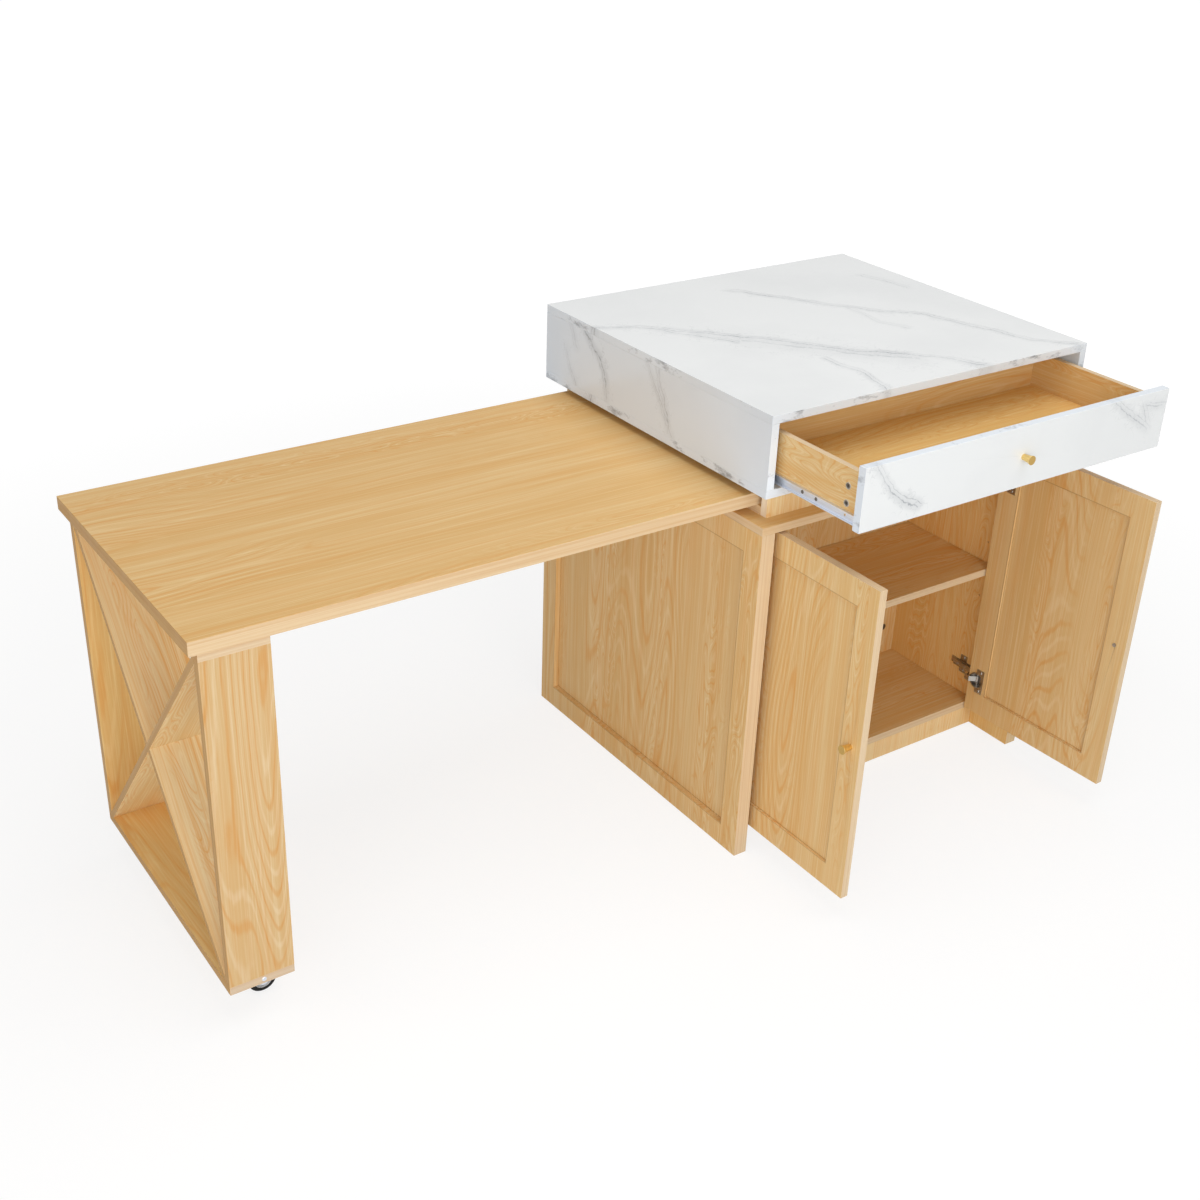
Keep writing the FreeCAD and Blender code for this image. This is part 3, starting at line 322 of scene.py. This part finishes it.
def maple(name, seed):
    """Wood of one board; its faces that aren't square to the thin axis are edge band."""
    tone, flame = WOOD[name][2:]
    light, honey, amber, cream = (scaled(colour, tone) for colour in (LIGHT, HONEY, AMBER, CREAM))
    material, tree, shader = new_material("maple_" + name)
    lean = brace_lean(name) if "brace" in name else 0.0
    texture = add(tree, "ShaderNodeTexCoord").outputs
    coords = separate(tree, turned(tree, texture["Object"], lean))
    normal = separate(tree, turned(tree, texture["Normal"], lean))
    order = board_axes(name)
    through = normal[order[2]]
    board = combine(tree, *(coords[axis] for axis in order))
    point = vec(tree, "ADD", board, SEED_SHIFT * seed)

    # The grain wanders a little from side to side
    drift = calc(tree, "SUBTRACT", noise(tree, point, *DRIFT), NOISE_MIDDLE)
    point = vec(tree, "ADD", point, combine(tree, 0.0, calc(tree, "MULTIPLY", drift, SWAY)))

    # The face: honey and light patches, cream fibres and flame lines, then all that is darker
    dark_flames, cream_flames = flames(tree, point, flame)
    wide, streak, fibre = (noise(tree, point, *layer) for layer in (WIDE, STREAK, FIBRE))
    fleck = span(tree, noise(tree, point, *FLECK), *FLECK_SHOWN)
    dark = calc(tree, "ADD", dark_flames, span(tree, streak, *STREAK_SHARE))
    dark = calc(tree, "ADD", dark, span(tree, fibre, *FIBRE_DARK))
    dark = calc(tree, "ADD", dark, calc(tree, "MULTIPLY", fleck, FLECK_SHARE))
    face = mix(tree, span(tree, wide, *WIDE_SHARE, True), honey, light)
    face = mix(tree, span(tree, fibre, *FIBRE_PALE), face, cream)
    face = mix(tree, cream_flames, face, cream)
    face = mix(tree, calc(tree, "MINIMUM", dark, 1.0), face, amber)

    # Edge bands carry thin lines along the edge
    band = scaled(BAND, SOFT if name == "leg_bottom_board" else tone)
    # Painted shade: on the table boards, edges that face left and right take the darker end colour
    end = PAINTED_END_SHADE if name in TABLE_BOARDS else band
    strip = mix(tree, facing(tree, normal["X"]), band, end)
    line = span(tree, noise(tree, point, *EDGE_LINE), *EDGE_LINE_SHARE)
    strip = mix(tree, line, strip, honey, "MULTIPLY")
    edge = edge_of(tree, through)
    if name in RECESSED:
        inset = field_inset(tree, name, coords)
        # Painted shade: a dark line round the recessed field
        face = mix(tree, field_painted_shade(tree, name, inset, through), face, PAINTED_RECESS_SHADE)
        edge = calc(tree, "MULTIPLY", edge, calc(tree, "LESS_THAN", inset, -WALL_MARGIN))

    tree.links.new(mix(tree, edge, face, strip), shader.inputs["Base Color"])
    tree.links.new(span(tree, streak, *WOOD_ROUGHNESS), shader.inputs["Roughness"])
    shader.inputs["Specular IOR Level"].default_value = WOOD_SPECULAR
    height = calc(tree, "SUBTRACT", 1.0, calc(tree, "MULTIPLY", fleck, FLECK_DEPTH))
    bump(tree, shader, height, *FLECK_BUMP)
    return material


for number, name in enumerate(WOOD, 1):
    dress(name, maple(name, number * BOARD_STEP))

# Marble laminate: each vein is a wobbling polyline on one face, with hair cracks beside it

WHITE = rgb(233, 235, 235)
GREY = rgb(128, 134, 142)
# Painted light: the counter top's broad faces are lifted brighter than the other slabs
BRIGHT_PAINTED_LIGHT = (1.06, 1.055, 1.05)
# Painted shade: faces to the left are darker and cooler, against the warm light that the wooden leaf throws
# on them
COOL_PAINTED_SHADE = (0.92, 0.98, 1.07)
# Painted cool tone on the edges of every slab, against the warm light that the wood throws on them
CRISP_PAINTED_COOL = (0.98, 1.02, 1.08)
# Each slab is cut from another place of the print
SLAB_STEP = 3.1
PRINT_SHIFT = Vector((1.0, 0.5, 0.3))
# Veins: points in the two axes of the face, width and strength
TOP_VEINS = (
    (((0.10, 0.32), (0.19, 0.28), (0.30, 0.11)), 0.005, 0.85),
    (((0.22, 0.24), (0.36, 0.10), (0.44, 0.00), (0.60, -0.16), (0.63, -0.22)), 0.007, 0.80),
    (((0.32, 0.11), (0.40, 0.02), (0.54, -0.13)), 0.016, 0.42),
    (((0.50, 0.38), (0.69, 0.11), (0.75, 0.07), (0.82, -0.16), (0.88, -0.22)), 0.0045, 0.70),
    (((0.83, 0.33), (0.85, 0.22)), 0.006, 0.45),
    (((0.38, -0.04), (0.40, -0.13), (0.38, -0.22)), 0.0035, 0.75),
    (((0.64, 0.17), (0.63, 0.07), (0.66, 0.01)), 0.004, 0.32),
)
LEFT_VEINS = (
    (((0.39, 0.90), (0.37, 0.86)), 0.004, 0.45),
    (((0.40, 0.85), (0.37, 0.78)), 0.005, 0.45),
    (((0.34, 0.90), (0.29, 0.86), (0.26, 0.79)), 0.0045, 0.85),
    (((0.13, 0.90), (0.09, 0.84), (0.05, 0.78)), 0.004, 0.55),
    (((0.10, 0.90), (0.06, 0.79)), 0.0035, 0.75),
)
FRONT_VEINS = (
    (((0.16, 0.89), (0.20, 0.84), (0.26, 0.80)), 0.0045, 0.8),
    (((0.74, 0.89), (0.84, 0.82)), 0.004, 0.6),
    (((0.82, 0.87), (0.84, 0.83)), 0.004, 0.5),
    (((0.83, 0.87), (0.88, 0.86)), 0.005, 0.45),
)
# Slabs of marble: the two axes of the main face, its veins and its tone, which on the counter top is painted
# light
MARBLE = {
    "counter_top": ("xy", TOP_VEINS, BRIGHT_PAINTED_LIGHT),
    "box_left_side": ("yz", LEFT_VEINS, EVEN),
    "box_right_side": ("yz", LEFT_VEINS, EVEN),
    "box_bottom": ("xy", TOP_VEINS, EVEN),
    "box_back": ("xz", FRONT_VEINS, EVEN),
    "drawer_front": ("xz", FRONT_VEINS, EVEN),
}
TWIN_SHIFT = (0.009, 0.004)
TWIN_WIDTH = 0.6
TWIN_STRENGTH = 0.75
# Two shakes of the veins: noise scale, detail and roughness, and reach in metres
SHAKES = ((9.0, 5.0, 0.62, 0.045), (75.0, 3.0, 0.5, 0.003))
# Noises: scale, detail and roughness
BREAKS = (110.0, 3.0, 0.6)
PATCHES = (14.0, 4.0, 0.65)
CRACKS = (26.0, 4.0, 0.6)
CLOUDS = (4.0, 4.0, 0.5)
SMUDGES = ((11.0, 11.0, 26.0), 5.0, 0.7)
BREAK_SHARE = (0.34, 0.54, 0.5, 1.0)
CLOUD_SHARE = (0.48, 0.78, 0.0, 0.09)
SMUDGE_SHARE = (0.56, 0.68, 0.0, 0.75)
# Range of the patches where a vein fades, and its share at the low end
PATCH_RANGE = (0.28, 0.62, 0.15)
CRACK_WIDTH = 0.022
# Parts of a vein: reach in widths, and share of grey at its middle
CORE_REACH, CORE_SHARE = 0.6, 1.0
HALO_REACH, HALO_SHARE = 4.0, 0.30
HAIR_REACH, HAIR_SHARE = 7.0, 0.55
MARBLE_ROUGHNESS = (0.3, 0.7, 0.16, 0.24)
MARBLE_SPECULAR = 0.4


def with_twins(veins):
    """The veins, each with a thinner, paler line beside it."""
    twins = []
    for points, width, strength in veins:
        beside = [(first + TWIN_SHIFT[0], second + TWIN_SHIFT[1]) for first, second in points]
        twins.append((beside, width * TWIN_WIDTH, strength * TWIN_STRENGTH))
    return list(veins) + twins


def shaken(tree, flat, moved, scale, detail, roughness, reach):
    """A point of the face, moved about by a colour noise."""
    inputs = {"Vector": moved, "Scale": scale, "Detail": detail, "Roughness": roughness}
    colour = add(tree, "ShaderNodeTexNoise", inputs).outputs["Color"]
    shift = vec(tree, "SUBTRACT", colour, (NOISE_MIDDLE,) * 3)
    return vec(tree, "ADD", flat, vec(tree, "MULTIPLY", shift, (reach, reach, 0.0)))


def vein_gap(tree, flat, points):
    """Distance from a point of the face to a vein's polyline."""
    near = None
    for start, end in zip(points, points[1:]):
        step = Vector((end[0] - start[0], end[1] - start[1], 0.0))
        away = vec(tree, "SUBTRACT", flat, (start[0], start[1], 0.0))
        inputs = {0: away, 1: step}
        dot = add(tree, "ShaderNodeVectorMath", inputs, operation="DOT_PRODUCT").outputs["Value"]
        inputs = {0: step, "Scale": span(tree, dot, 0.0, step.length_squared)}
        spot = add(tree, "ShaderNodeVectorMath", inputs, operation="SCALE").outputs[0]
        gap = length(tree, vec(tree, "SUBTRACT", away, spot))
        near = gap if near is None else calc(tree, "MINIMUM", near, gap)
    return near


def marble(name, seed):
    """White stone print with its veins on a slab's main face and smudges on its edges; edges and faces to
    the left get painted tones against the warm light from the wood.
    """
    across, veins, tone = MARBLE[name]
    material, tree, shader = new_material("marble_" + name)
    texture = add(tree, "ShaderNodeTexCoord").outputs
    coords = separate(tree, texture["Object"])
    normal = separate(tree, texture["Normal"])
    moved = vec(tree, "ADD", texture["Object"], PRINT_SHIFT * seed)
    flat = combine(tree, *(coords[AXES.index(axis)] for axis in across))
    for shake in SHAKES:
        flat = shaken(tree, flat, moved, *shake)
    broken = span(tree, noise(tree, moved, *BREAKS), *BREAK_SHARE)
    patch = noise(tree, moved, *PATCHES)
    crack = calc(tree, "ABSOLUTE", calc(tree, "SUBTRACT", noise(tree, moved, *CRACKS), NOISE_MIDDLE))
    crack = span(tree, crack, 0.0, CRACK_WIDTH, 1.0, 0.0, True)
    grey = span(tree, noise(tree, moved, *CLOUDS), *CLOUD_SHARE)
    for points, width, strength in with_twins(veins):
        near = vein_gap(tree, flat, points)
        core = span(tree, near, 0.0, width * CORE_REACH, CORE_SHARE, 0.0, True)
        halo = span(tree, near, 0.0, width * HALO_REACH, HALO_SHARE, 0.0, True)
        hair = span(tree, near, 0.0, width * HAIR_REACH, HAIR_SHARE, 0.0)
        body = calc(tree, "MAXIMUM", calc(tree, "MULTIPLY", core, broken), halo)
        body = calc(tree, "MAXIMUM", body, calc(tree, "MULTIPLY", crack, hair))
        body = calc(tree, "MULTIPLY", body, span(tree, patch, *PATCH_RANGE, strength))
        grey = calc(tree, "MAXIMUM", grey, body)

    # Edge strips are cut from other places of the print
    edge = edge_of(tree, next(normal[index] for index, axis in enumerate(AXES) if axis not in across))
    smudge = span(tree, noise(tree, moved, *SMUDGES), *SMUDGE_SHARE)
    grey = calc(tree, "MAXIMUM", grey, calc(tree, "MULTIPLY", edge, smudge))
    # Painted cool tone on the edges, against warm bounce light
    white = mix(tree, edge, scaled(WHITE, tone), scaled(WHITE, CRISP_PAINTED_COOL))
    # Painted shade on the faces to the left
    left = calc(tree, "LESS_THAN", normal["X"], -SQUARE)
    white = mix(tree, left, white, scaled(WHITE, COOL_PAINTED_SHADE))
    tree.links.new(mix(tree, grey, white, GREY), shader.inputs["Base Color"])
    tree.links.new(span(tree, patch, *MARBLE_ROUGHNESS), shader.inputs["Roughness"])
    shader.inputs["Specular IOR Level"].default_value = MARBLE_SPECULAR
    return material


for number, name in enumerate(MARBLE, 1):
    dress(name, marble(name, number * SLAB_STEP))

# Metals, rubber and plastic

GRIME = ((240.0, 9.0, 240.0), 4.0, 0.6)
GRIME_SHOWN = (0.35, 0.7)
GRIMY = (0.82, 0.82, 0.82)
WEAR_RANGE = (0.3, 0.7)
METAL_WEAR = 0.12
BRUSHING = ((900.0, 40.0, 900.0), 2.0, 0.5)
BRUSH_STRENGTH = 0.1
BRUSH_DEPTH = 0.0002
TIP_SQUARE = 0.9
TIP_PAINTED_SHADE = (0.58, 0.52, 0.42)
DUST = (300.0, 3.0, 0.5)
DUST_SHOWN = (0.4, 0.7)
DUST_GAIN = 1.25
DUST_LIFT = 0.01
DUST_WEAR = 0.1
DUST_BUMP = (0.15, 0.0003)
DUSTY_SPECULAR = 0.25


def metal(name, colour, roughness, brushed=False, tip_axis=None):
    """Worn metal; a turned piece has painted shade on its ends square to its tip axis."""
    material, tree, shader = new_material(name)
    texture = add(tree, "ShaderNodeTexCoord").outputs
    grime = noise(tree, texture["Object"], *GRIME)
    tone = mix(tree, span(tree, grime, *GRIME_SHOWN), colour, scaled(colour, GRIMY))
    if tip_axis:
        share = separate(tree, texture["Normal"])[AXES.index(tip_axis)]
        # Painted shade on the ends of a turned piece
        tone = mix(tree, facing(tree, share, TIP_SQUARE), tone, scaled(colour, TIP_PAINTED_SHADE))
    tree.links.new(tone, shader.inputs["Base Color"])
    shader.inputs["Metallic"].default_value = 1.0
    worn = span(tree, grime, *WEAR_RANGE, roughness, roughness + METAL_WEAR)
    tree.links.new(worn, shader.inputs["Roughness"])
    if brushed:
        bump(tree, shader, noise(tree, texture["Object"], *BRUSHING), BRUSH_STRENGTH, BRUSH_DEPTH)
    return material


def dusty(name, colour, roughness):
    """Rubber or plastic with a little dust in its grain."""
    material, tree, shader = new_material(name)
    dust = noise(tree, add(tree, "ShaderNodeTexCoord").outputs["Object"], *DUST)
    pale = tuple(channel * DUST_GAIN + DUST_LIFT for channel in colour[:3]) + (1.0,)
    tree.links.new(mix(tree, span(tree, dust, *DUST_SHOWN), colour, pale), shader.inputs["Base Color"])
    worn = span(tree, dust, *WEAR_RANGE, roughness, roughness + DUST_WEAR)
    tree.links.new(worn, shader.inputs["Roughness"])
    shader.inputs["Specular IOR Level"].default_value = DUSTY_SPECULAR
    bump(tree, shader, dust, *DUST_BUMP)
    return material


FINISH = {
    "zinc_steel": metal("zinc_steel", rgb(228, 233, 242), 0.38, True),
    "nickel_steel": metal("nickel_steel", rgb(190, 186, 180), 0.24),
    "cam_zinc": metal("cam_zinc", rgb(128, 124, 118), 0.38),
    "castor_rubber": dusty("castor_rubber", rgb(20, 20, 21), 0.75),
    "castor_plastic": dusty("castor_plastic", rgb(196, 198, 200), 0.40),
}
for entry in frame["record"]["subparts"]:
    if entry["material_slot"] in FINISH:
        dress(entry["node"], FINISH[entry["material_slot"]])
BRASS = rgb(246, 214, 140)
BRASS_ROUGHNESS = 0.30
for name, axis in (("drawer_knob", "y"), ("left_door_knob", "x"), ("right_door_knob", "x")):
    dress(name, metal("brass_" + name, BRASS, BRASS_ROUGHNESS, True, axis))

# Small pieces: screw heads with a crossed recess, and thin rings, one piece for each group

SIDES = 24
# A screw head's section, as shares of its radius and height, and its crossed recess
RINGS = ((1.0, 0.0), (1.0, 0.35), (0.92, 0.75), (0.74, 1.0))
CROSS_REACH = 0.58
CROSS_HALF = 0.14
QUARTER_CROSS = ((CROSS_REACH, CROSS_HALF), (CROSS_HALF, CROSS_HALF), (CROSS_HALF, CROSS_REACH))
CROSS_FLOOR = 0.3


def cross(radius):
    """Outline of a crossed recess: one quarter of it, turned four times."""
    outline = []
    for turn in range(4):
        for x, y in QUARTER_CROSS:
            for _ in range(turn):
                x, y = -y, x
            outline.append((x * radius, y * radius))
    return outline


def circle(radius):
    angles = [math.tau * step / SIDES for step in range(SIDES)]
    return [(math.cos(angle) * radius, math.sin(angle) * radius) for angle in angles]


def ring_edges(shape, ring):
    pairs = zip(ring, ring[1:] + ring[:1])
    return [shape.edges.get(pair) or shape.edges.new(pair) for pair in pairs]


def band_faces(shape, lower, upper):
    pairs = list(zip(lower, upper))
    for start, end in zip(pairs, pairs[1:] + pairs[:1]):
        shape.faces.new((start[0], end[0], end[1], start[1]))


def facing_place(spot, direction):
    """Puts a small piece's foot on a spot, with its Z axis along a direction."""
    turn = Vector(direction).to_track_quat("Z", "Y").to_matrix().to_4x4()
    return Matrix.Translation(spot) @ turn


def loop(shape, place, outline, level):
    return [shape.verts.new(place @ Vector((x, y, level))) for x, y in outline]


def finish_piece(name, shape, body, slot):
    """Turns a finished shape into a piece that rides on a body."""
    bmesh.ops.recalc_face_normals(shape, faces=shape.faces)
    mesh = bpy.data.meshes.new(name)
    shape.to_mesh(mesh)
    shape.free()
    mesh.materials.append(FINISH[slot])
    piece = bpy.data.objects.new(name, mesh)
    scene.collection.objects.link(piece)
    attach(piece, body)


def screws(name, spots, direction, head, body, slot):
    """Pan heads on a face: a rounded rim, a flat top and a crossed recess."""
    shape = bmesh.new()
    radius, height = head
    for spot in spots:
        place = facing_place(spot, direction)
        rings = [loop(shape, place, circle(size * radius), level * height) for size, level in RINGS]
        for lower, upper in zip(rings, rings[1:]):
            band_faces(shape, lower, upper)
        shape.faces.new(rings[0][::-1])
        mouth = loop(shape, place, cross(radius), height)
        pit = loop(shape, place, cross(radius), CROSS_FLOOR * height)
        band_faces(shape, mouth, pit)
        shape.faces.new(pit)
        rims = ring_edges(shape, rings[-1]) + ring_edges(shape, mouth)
        bmesh.ops.triangle_fill(shape, use_beauty=True, edges=rims)
    finish_piece(name, shape, body, slot)


def collars(name, spots, section, body, slot):
    """Flat rings on faces; the section is a list of (radius, level)."""
    shape = bmesh.new()
    for spot, direction in spots:
        place = facing_place(spot, direction)
        rings = [loop(shape, place, circle(radius), level) for radius, level in section]
        for lower, upper in zip(rings, rings[1:] + rings[:1]):
            band_faces(shape, lower, upper)
    finish_piece(name, shape, body, slot)


# Hinge screws, two on each cup and two on each arm; the right door stands two degrees past square

# Screw heads: radius and height
CUP_SCREW = (0.0036, 0.0012)
ARM_SCREW = (0.0034, 0.0011)
HINGE_LEVELS = (0.1294, 0.6076)
CUP_SCREW_SPREAD = 0.0225
CUP_LEVELS = [level + side * CUP_SCREW_SPREAD for level in HINGE_LEVELS for side in (-1, 1)]
ARM_DEPTHS = (-0.085, -0.065)
ARM_SPOTS = [(depth, level) for depth in ARM_DEPTHS for level in HINGE_LEVELS]
RIGHT_DOOR_FACING = (-0.99939, -0.0349, 0)
LEFT_CUP = (0.1747, -0.1500)
RIGHT_CUP = (0.84778, -0.15031)
LEFT_ARM_FACE = 0.15475
RIGHT_ARM_FACE = 0.86725
screws("left_cup_screws", [(*LEFT_CUP, level) for level in CUP_LEVELS], (1, 0, 0), CUP_SCREW,
       "left_door", "nickel_steel")
screws("right_cup_screws", [(*RIGHT_CUP, level) for level in CUP_LEVELS], RIGHT_DOOR_FACING, CUP_SCREW,
       "right_door", "nickel_steel")
screws("left_arm_screws", [(LEFT_ARM_FACE, *spot) for spot in ARM_SPOTS], (1, 0, 0), ARM_SCREW,
       "cabinet", "nickel_steel")
screws("right_arm_screws", [(RIGHT_ARM_FACE, *spot) for spot in ARM_SPOTS], (-1, 0, 0), ARM_SCREW,
       "cabinet", "nickel_steel")

# Runner screws on the drawer's sides

RUNNER_SCREW = (0.0034, 0.0008)
RUNNER_LEVEL = 0.7935
RUNNER_DEPTHS = (-0.3195, -0.2845)
RUNNER_SPOTS = [(depth, RUNNER_LEVEL) for depth in RUNNER_DEPTHS]
LEFT_RUNNER_FACE = 0.1435
RIGHT_RUNNER_FACE = 0.8785
screws("left_runner_screws", [(LEFT_RUNNER_FACE, *spot) for spot in RUNNER_SPOTS], (-1, 0, 0), RUNNER_SCREW,
       "drawer", "cam_zinc")
screws("right_runner_screws", [(RIGHT_RUNNER_FACE, *spot) for spot in RUNNER_SPOTS], (1, 0, 0), RUNNER_SCREW,
       "drawer", "cam_zinc")

# Castors: four screws under each plate, and a rubber wall on each side of each tyre

PLATE_SCREW = (0.0040, 0.0016)
CASTOR_X = -0.834
CASTOR_DEPTHS = (-0.0875, 0.3435)
PLATE_REACH = 0.0235
PLATE_UNDERSIDE = 0.0745
PLATE_SPOTS = [
    (CASTOR_X + across * PLATE_REACH, middle + along * PLATE_REACH, PLATE_UNDERSIDE)
    for across in (-1, 1) for middle in CASTOR_DEPTHS for along in (-1, 1)
]
# Section of a tyre wall: radius and level
TYRE_WALL = ((0.0219, 0.0), (0.0215, 0.0007), (0.0168, 0.0008), (0.0160, 0.0))
screws("castor_plate_screws", PLATE_SPOTS, (0, 0, -1), PLATE_SCREW, "table", "zinc_steel")
for side in ("near", "far"):
    low, high = (Vector(corner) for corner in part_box(side + "_castor_tyre"))
    middle = (low + high) / 2
    walls = [((middle.x, low.y, middle.z), (0, -1, 0)), ((middle.x, high.y, middle.z), (0, 1, 0))]
    collars(side + "_tyre_walls", walls, TYRE_WALL, side + "_wheel", "castor_rubber")

# A collar round each drawer cam, and the screw in the foot of the near leg board

# Section of a collar: radius and level
CAM_COLLAR = ((0.0064, 0.0), (0.0061, 0.0004), (0.0048, 0.0005), (0.0046, 0.0))
low, high = (Vector(corner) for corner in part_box("drawer_cams"))
depth, reach = (low.y + high.y) / 2, (high.y - low.y) / 2
levels = (low.z + reach, high.z - reach)
cam_spots = [((x, depth, z), (side, 0, 0)) for x, side in ((low.x, -1), (high.x, 1)) for z in levels]
collars("drawer_cam_collars", cam_spots, CAM_COLLAR, "drawer", "nickel_steel")
LEG_SCREW = (0.0042, 0.0008)
LEG_SCREW_SPOT = (-0.831, -0.161, 0.085)
screws("leg_board_screw", [LEG_SCREW_SPOT], (0, -1, 0), LEG_SCREW, "table", "zinc_steel")

# Rounded edges on every board, so that edges catch the light

WELD_REACH = 0.00002
ROUNDING = 0.0007
ROUNDING_STEPS = 2
ROUNDING_ANGLE = math.radians(40)
for name in list(WOOD) + list(MARBLE):
    weld = pieces[name].modifiers.new("weld", "WELD")
    weld.merge_threshold = WELD_REACH
    rounding = pieces[name].modifiers.new("rounding", "BEVEL")
    rounding.width = ROUNDING
    rounding.segments = ROUNDING_STEPS
    rounding.limit_method = "ANGLE"
    rounding.angle_limit = ROUNDING_ANGLE

# Studio: a pale floor that keeps a soft shadow, and soft light from above, in front and the left corner

BACKGROUND_RAYS = ("Is Camera Ray", "Is Glossy Ray", "Is Transmission Ray")
FLOOR_SIZE = 60.0
FLOOR_DROP = 0.0005
PAPER = (0.90, 0.90, 0.90, 1.0)
# The floor's glow: distances from its middle, strengths there, and its share of the floor that is seen
GLOW = (1.4, 3.4, 1.06, 1.28)
GLOW_SHARE = 0.75
AMBIENT = 0.25
BACKDROP = (1.0, 1.0, 1.0, 1.0)


def background_ray(tree):
    """1 on rays that show the background itself, 0 on rays that light the object."""
    path = add(tree, "ShaderNodeLightPath")
    camera_ray, glossy_ray, transmission_ray = (path.outputs[name] for name in BACKGROUND_RAYS)
    return calc(tree, "MAXIMUM", calc(tree, "MAXIMUM", camera_ray, glossy_ray), transmission_ray)


bpy.ops.mesh.primitive_plane_add(size=FLOOR_SIZE, location=(0.0, 0.0, -FLOOR_DROP))
floor = bpy.context.object
floor.name = "floor"
material, tree, shader = new_material("floor")
tree.nodes.remove(shader)
paper = add(tree, "ShaderNodeBsdfDiffuse", {"Color": PAPER}).outputs[0]
away = length(tree, add(tree, "ShaderNodeTexCoord").outputs["Object"])
glow = add(tree, "ShaderNodeEmission", {"Strength": span(tree, away, *GLOW)}).outputs[0]
seen = add(tree, "ShaderNodeMixShader", {0: GLOW_SHARE, 1: paper, 2: glow}).outputs[0]
surface = add(tree, "ShaderNodeMixShader", {0: background_ray(tree), 1: paper, 2: seen}).outputs[0]
tree.links.new(surface, tree.nodes["Material Output"].inputs["Surface"])
floor.data.materials.append(material)

world = bpy.data.worlds.new("studio")
world.use_nodes = True
tree = world.node_tree
background = tree.nodes["Background"]
background.inputs["Color"].default_value = BACKDROP
strength = span(tree, background_ray(tree), 0.0, 1.0, AMBIENT, 1.0)
tree.links.new(strength, background.inputs["Strength"])
scene.world = world

# Lamps: place, the spot they face, side of the square in metres and power in watts
LAMPS = {
    "overhead": ((0.3, -0.8, 4.2), (0.2, 0.0, 0.6), 3.5, 86.0),
    "corner": ((-3.6, -3.0, 1.6), (0.3, 0.0, 0.6), 2.5, 66.0),
    "front": ((-0.6, -4.3, 1.8), (0.3, 0.0, 0.6), 2.5, 61.0),
    "left": ((-4.2, 0.4, 2.6), (0.1, 0.1, 0.7), 2.5, 16.0),
}
for name, (spot, target, side, power) in LAMPS.items():
    lamp = bpy.data.lights.new(name, "AREA")
    lamp.shape = "SQUARE"
    lamp.size = side
    lamp.energy = power
    lamp_object = bpy.data.objects.new(name, lamp)
    lamp_object.location = spot
    lamp_object.rotation_euler = (Vector(target) - Vector(spot)).to_track_quat("-Z", "Y").to_euler()
    scene.collection.objects.link(lamp_object)

# Camera fitted to the photo's corner points

EYE = Vector((-1.5594, -2.1084, 1.8799))
AZIMUTH = math.radians(35.279)
DROP = math.radians(27.894)
ROLL = math.radians(2.140)
FOCAL_PIXELS = 1585.1
PHOTO_PIXELS = 1200.0
SENSOR = 36.0
CLIP_END = 100.0
ahead = Vector((math.sin(AZIMUTH), math.cos(AZIMUTH), 0.0))
level = Vector((math.cos(AZIMUTH), -math.sin(AZIMUTH), 0.0))
forward = math.cos(DROP) * ahead - math.sin(DROP) * Vector((0.0, 0.0, 1.0))
upward = level.cross(forward)
right = math.cos(ROLL) * level + math.sin(ROLL) * upward
above = math.cos(ROLL) * upward - math.sin(ROLL) * level
camera_data = bpy.data.cameras.new("camera")
camera_data.sensor_width = SENSOR
camera_data.lens = SENSOR * FOCAL_PIXELS / PHOTO_PIXELS
camera_data.clip_end = CLIP_END
camera = bpy.data.objects.new("camera", camera_data)
camera.matrix_world = Matrix.Translation(EYE) @ Matrix((right, above, -forward)).transposed().to_4x4()
scene.collection.objects.link(camera)
scene.camera = camera
scene.view_settings.view_transform = "Standard"
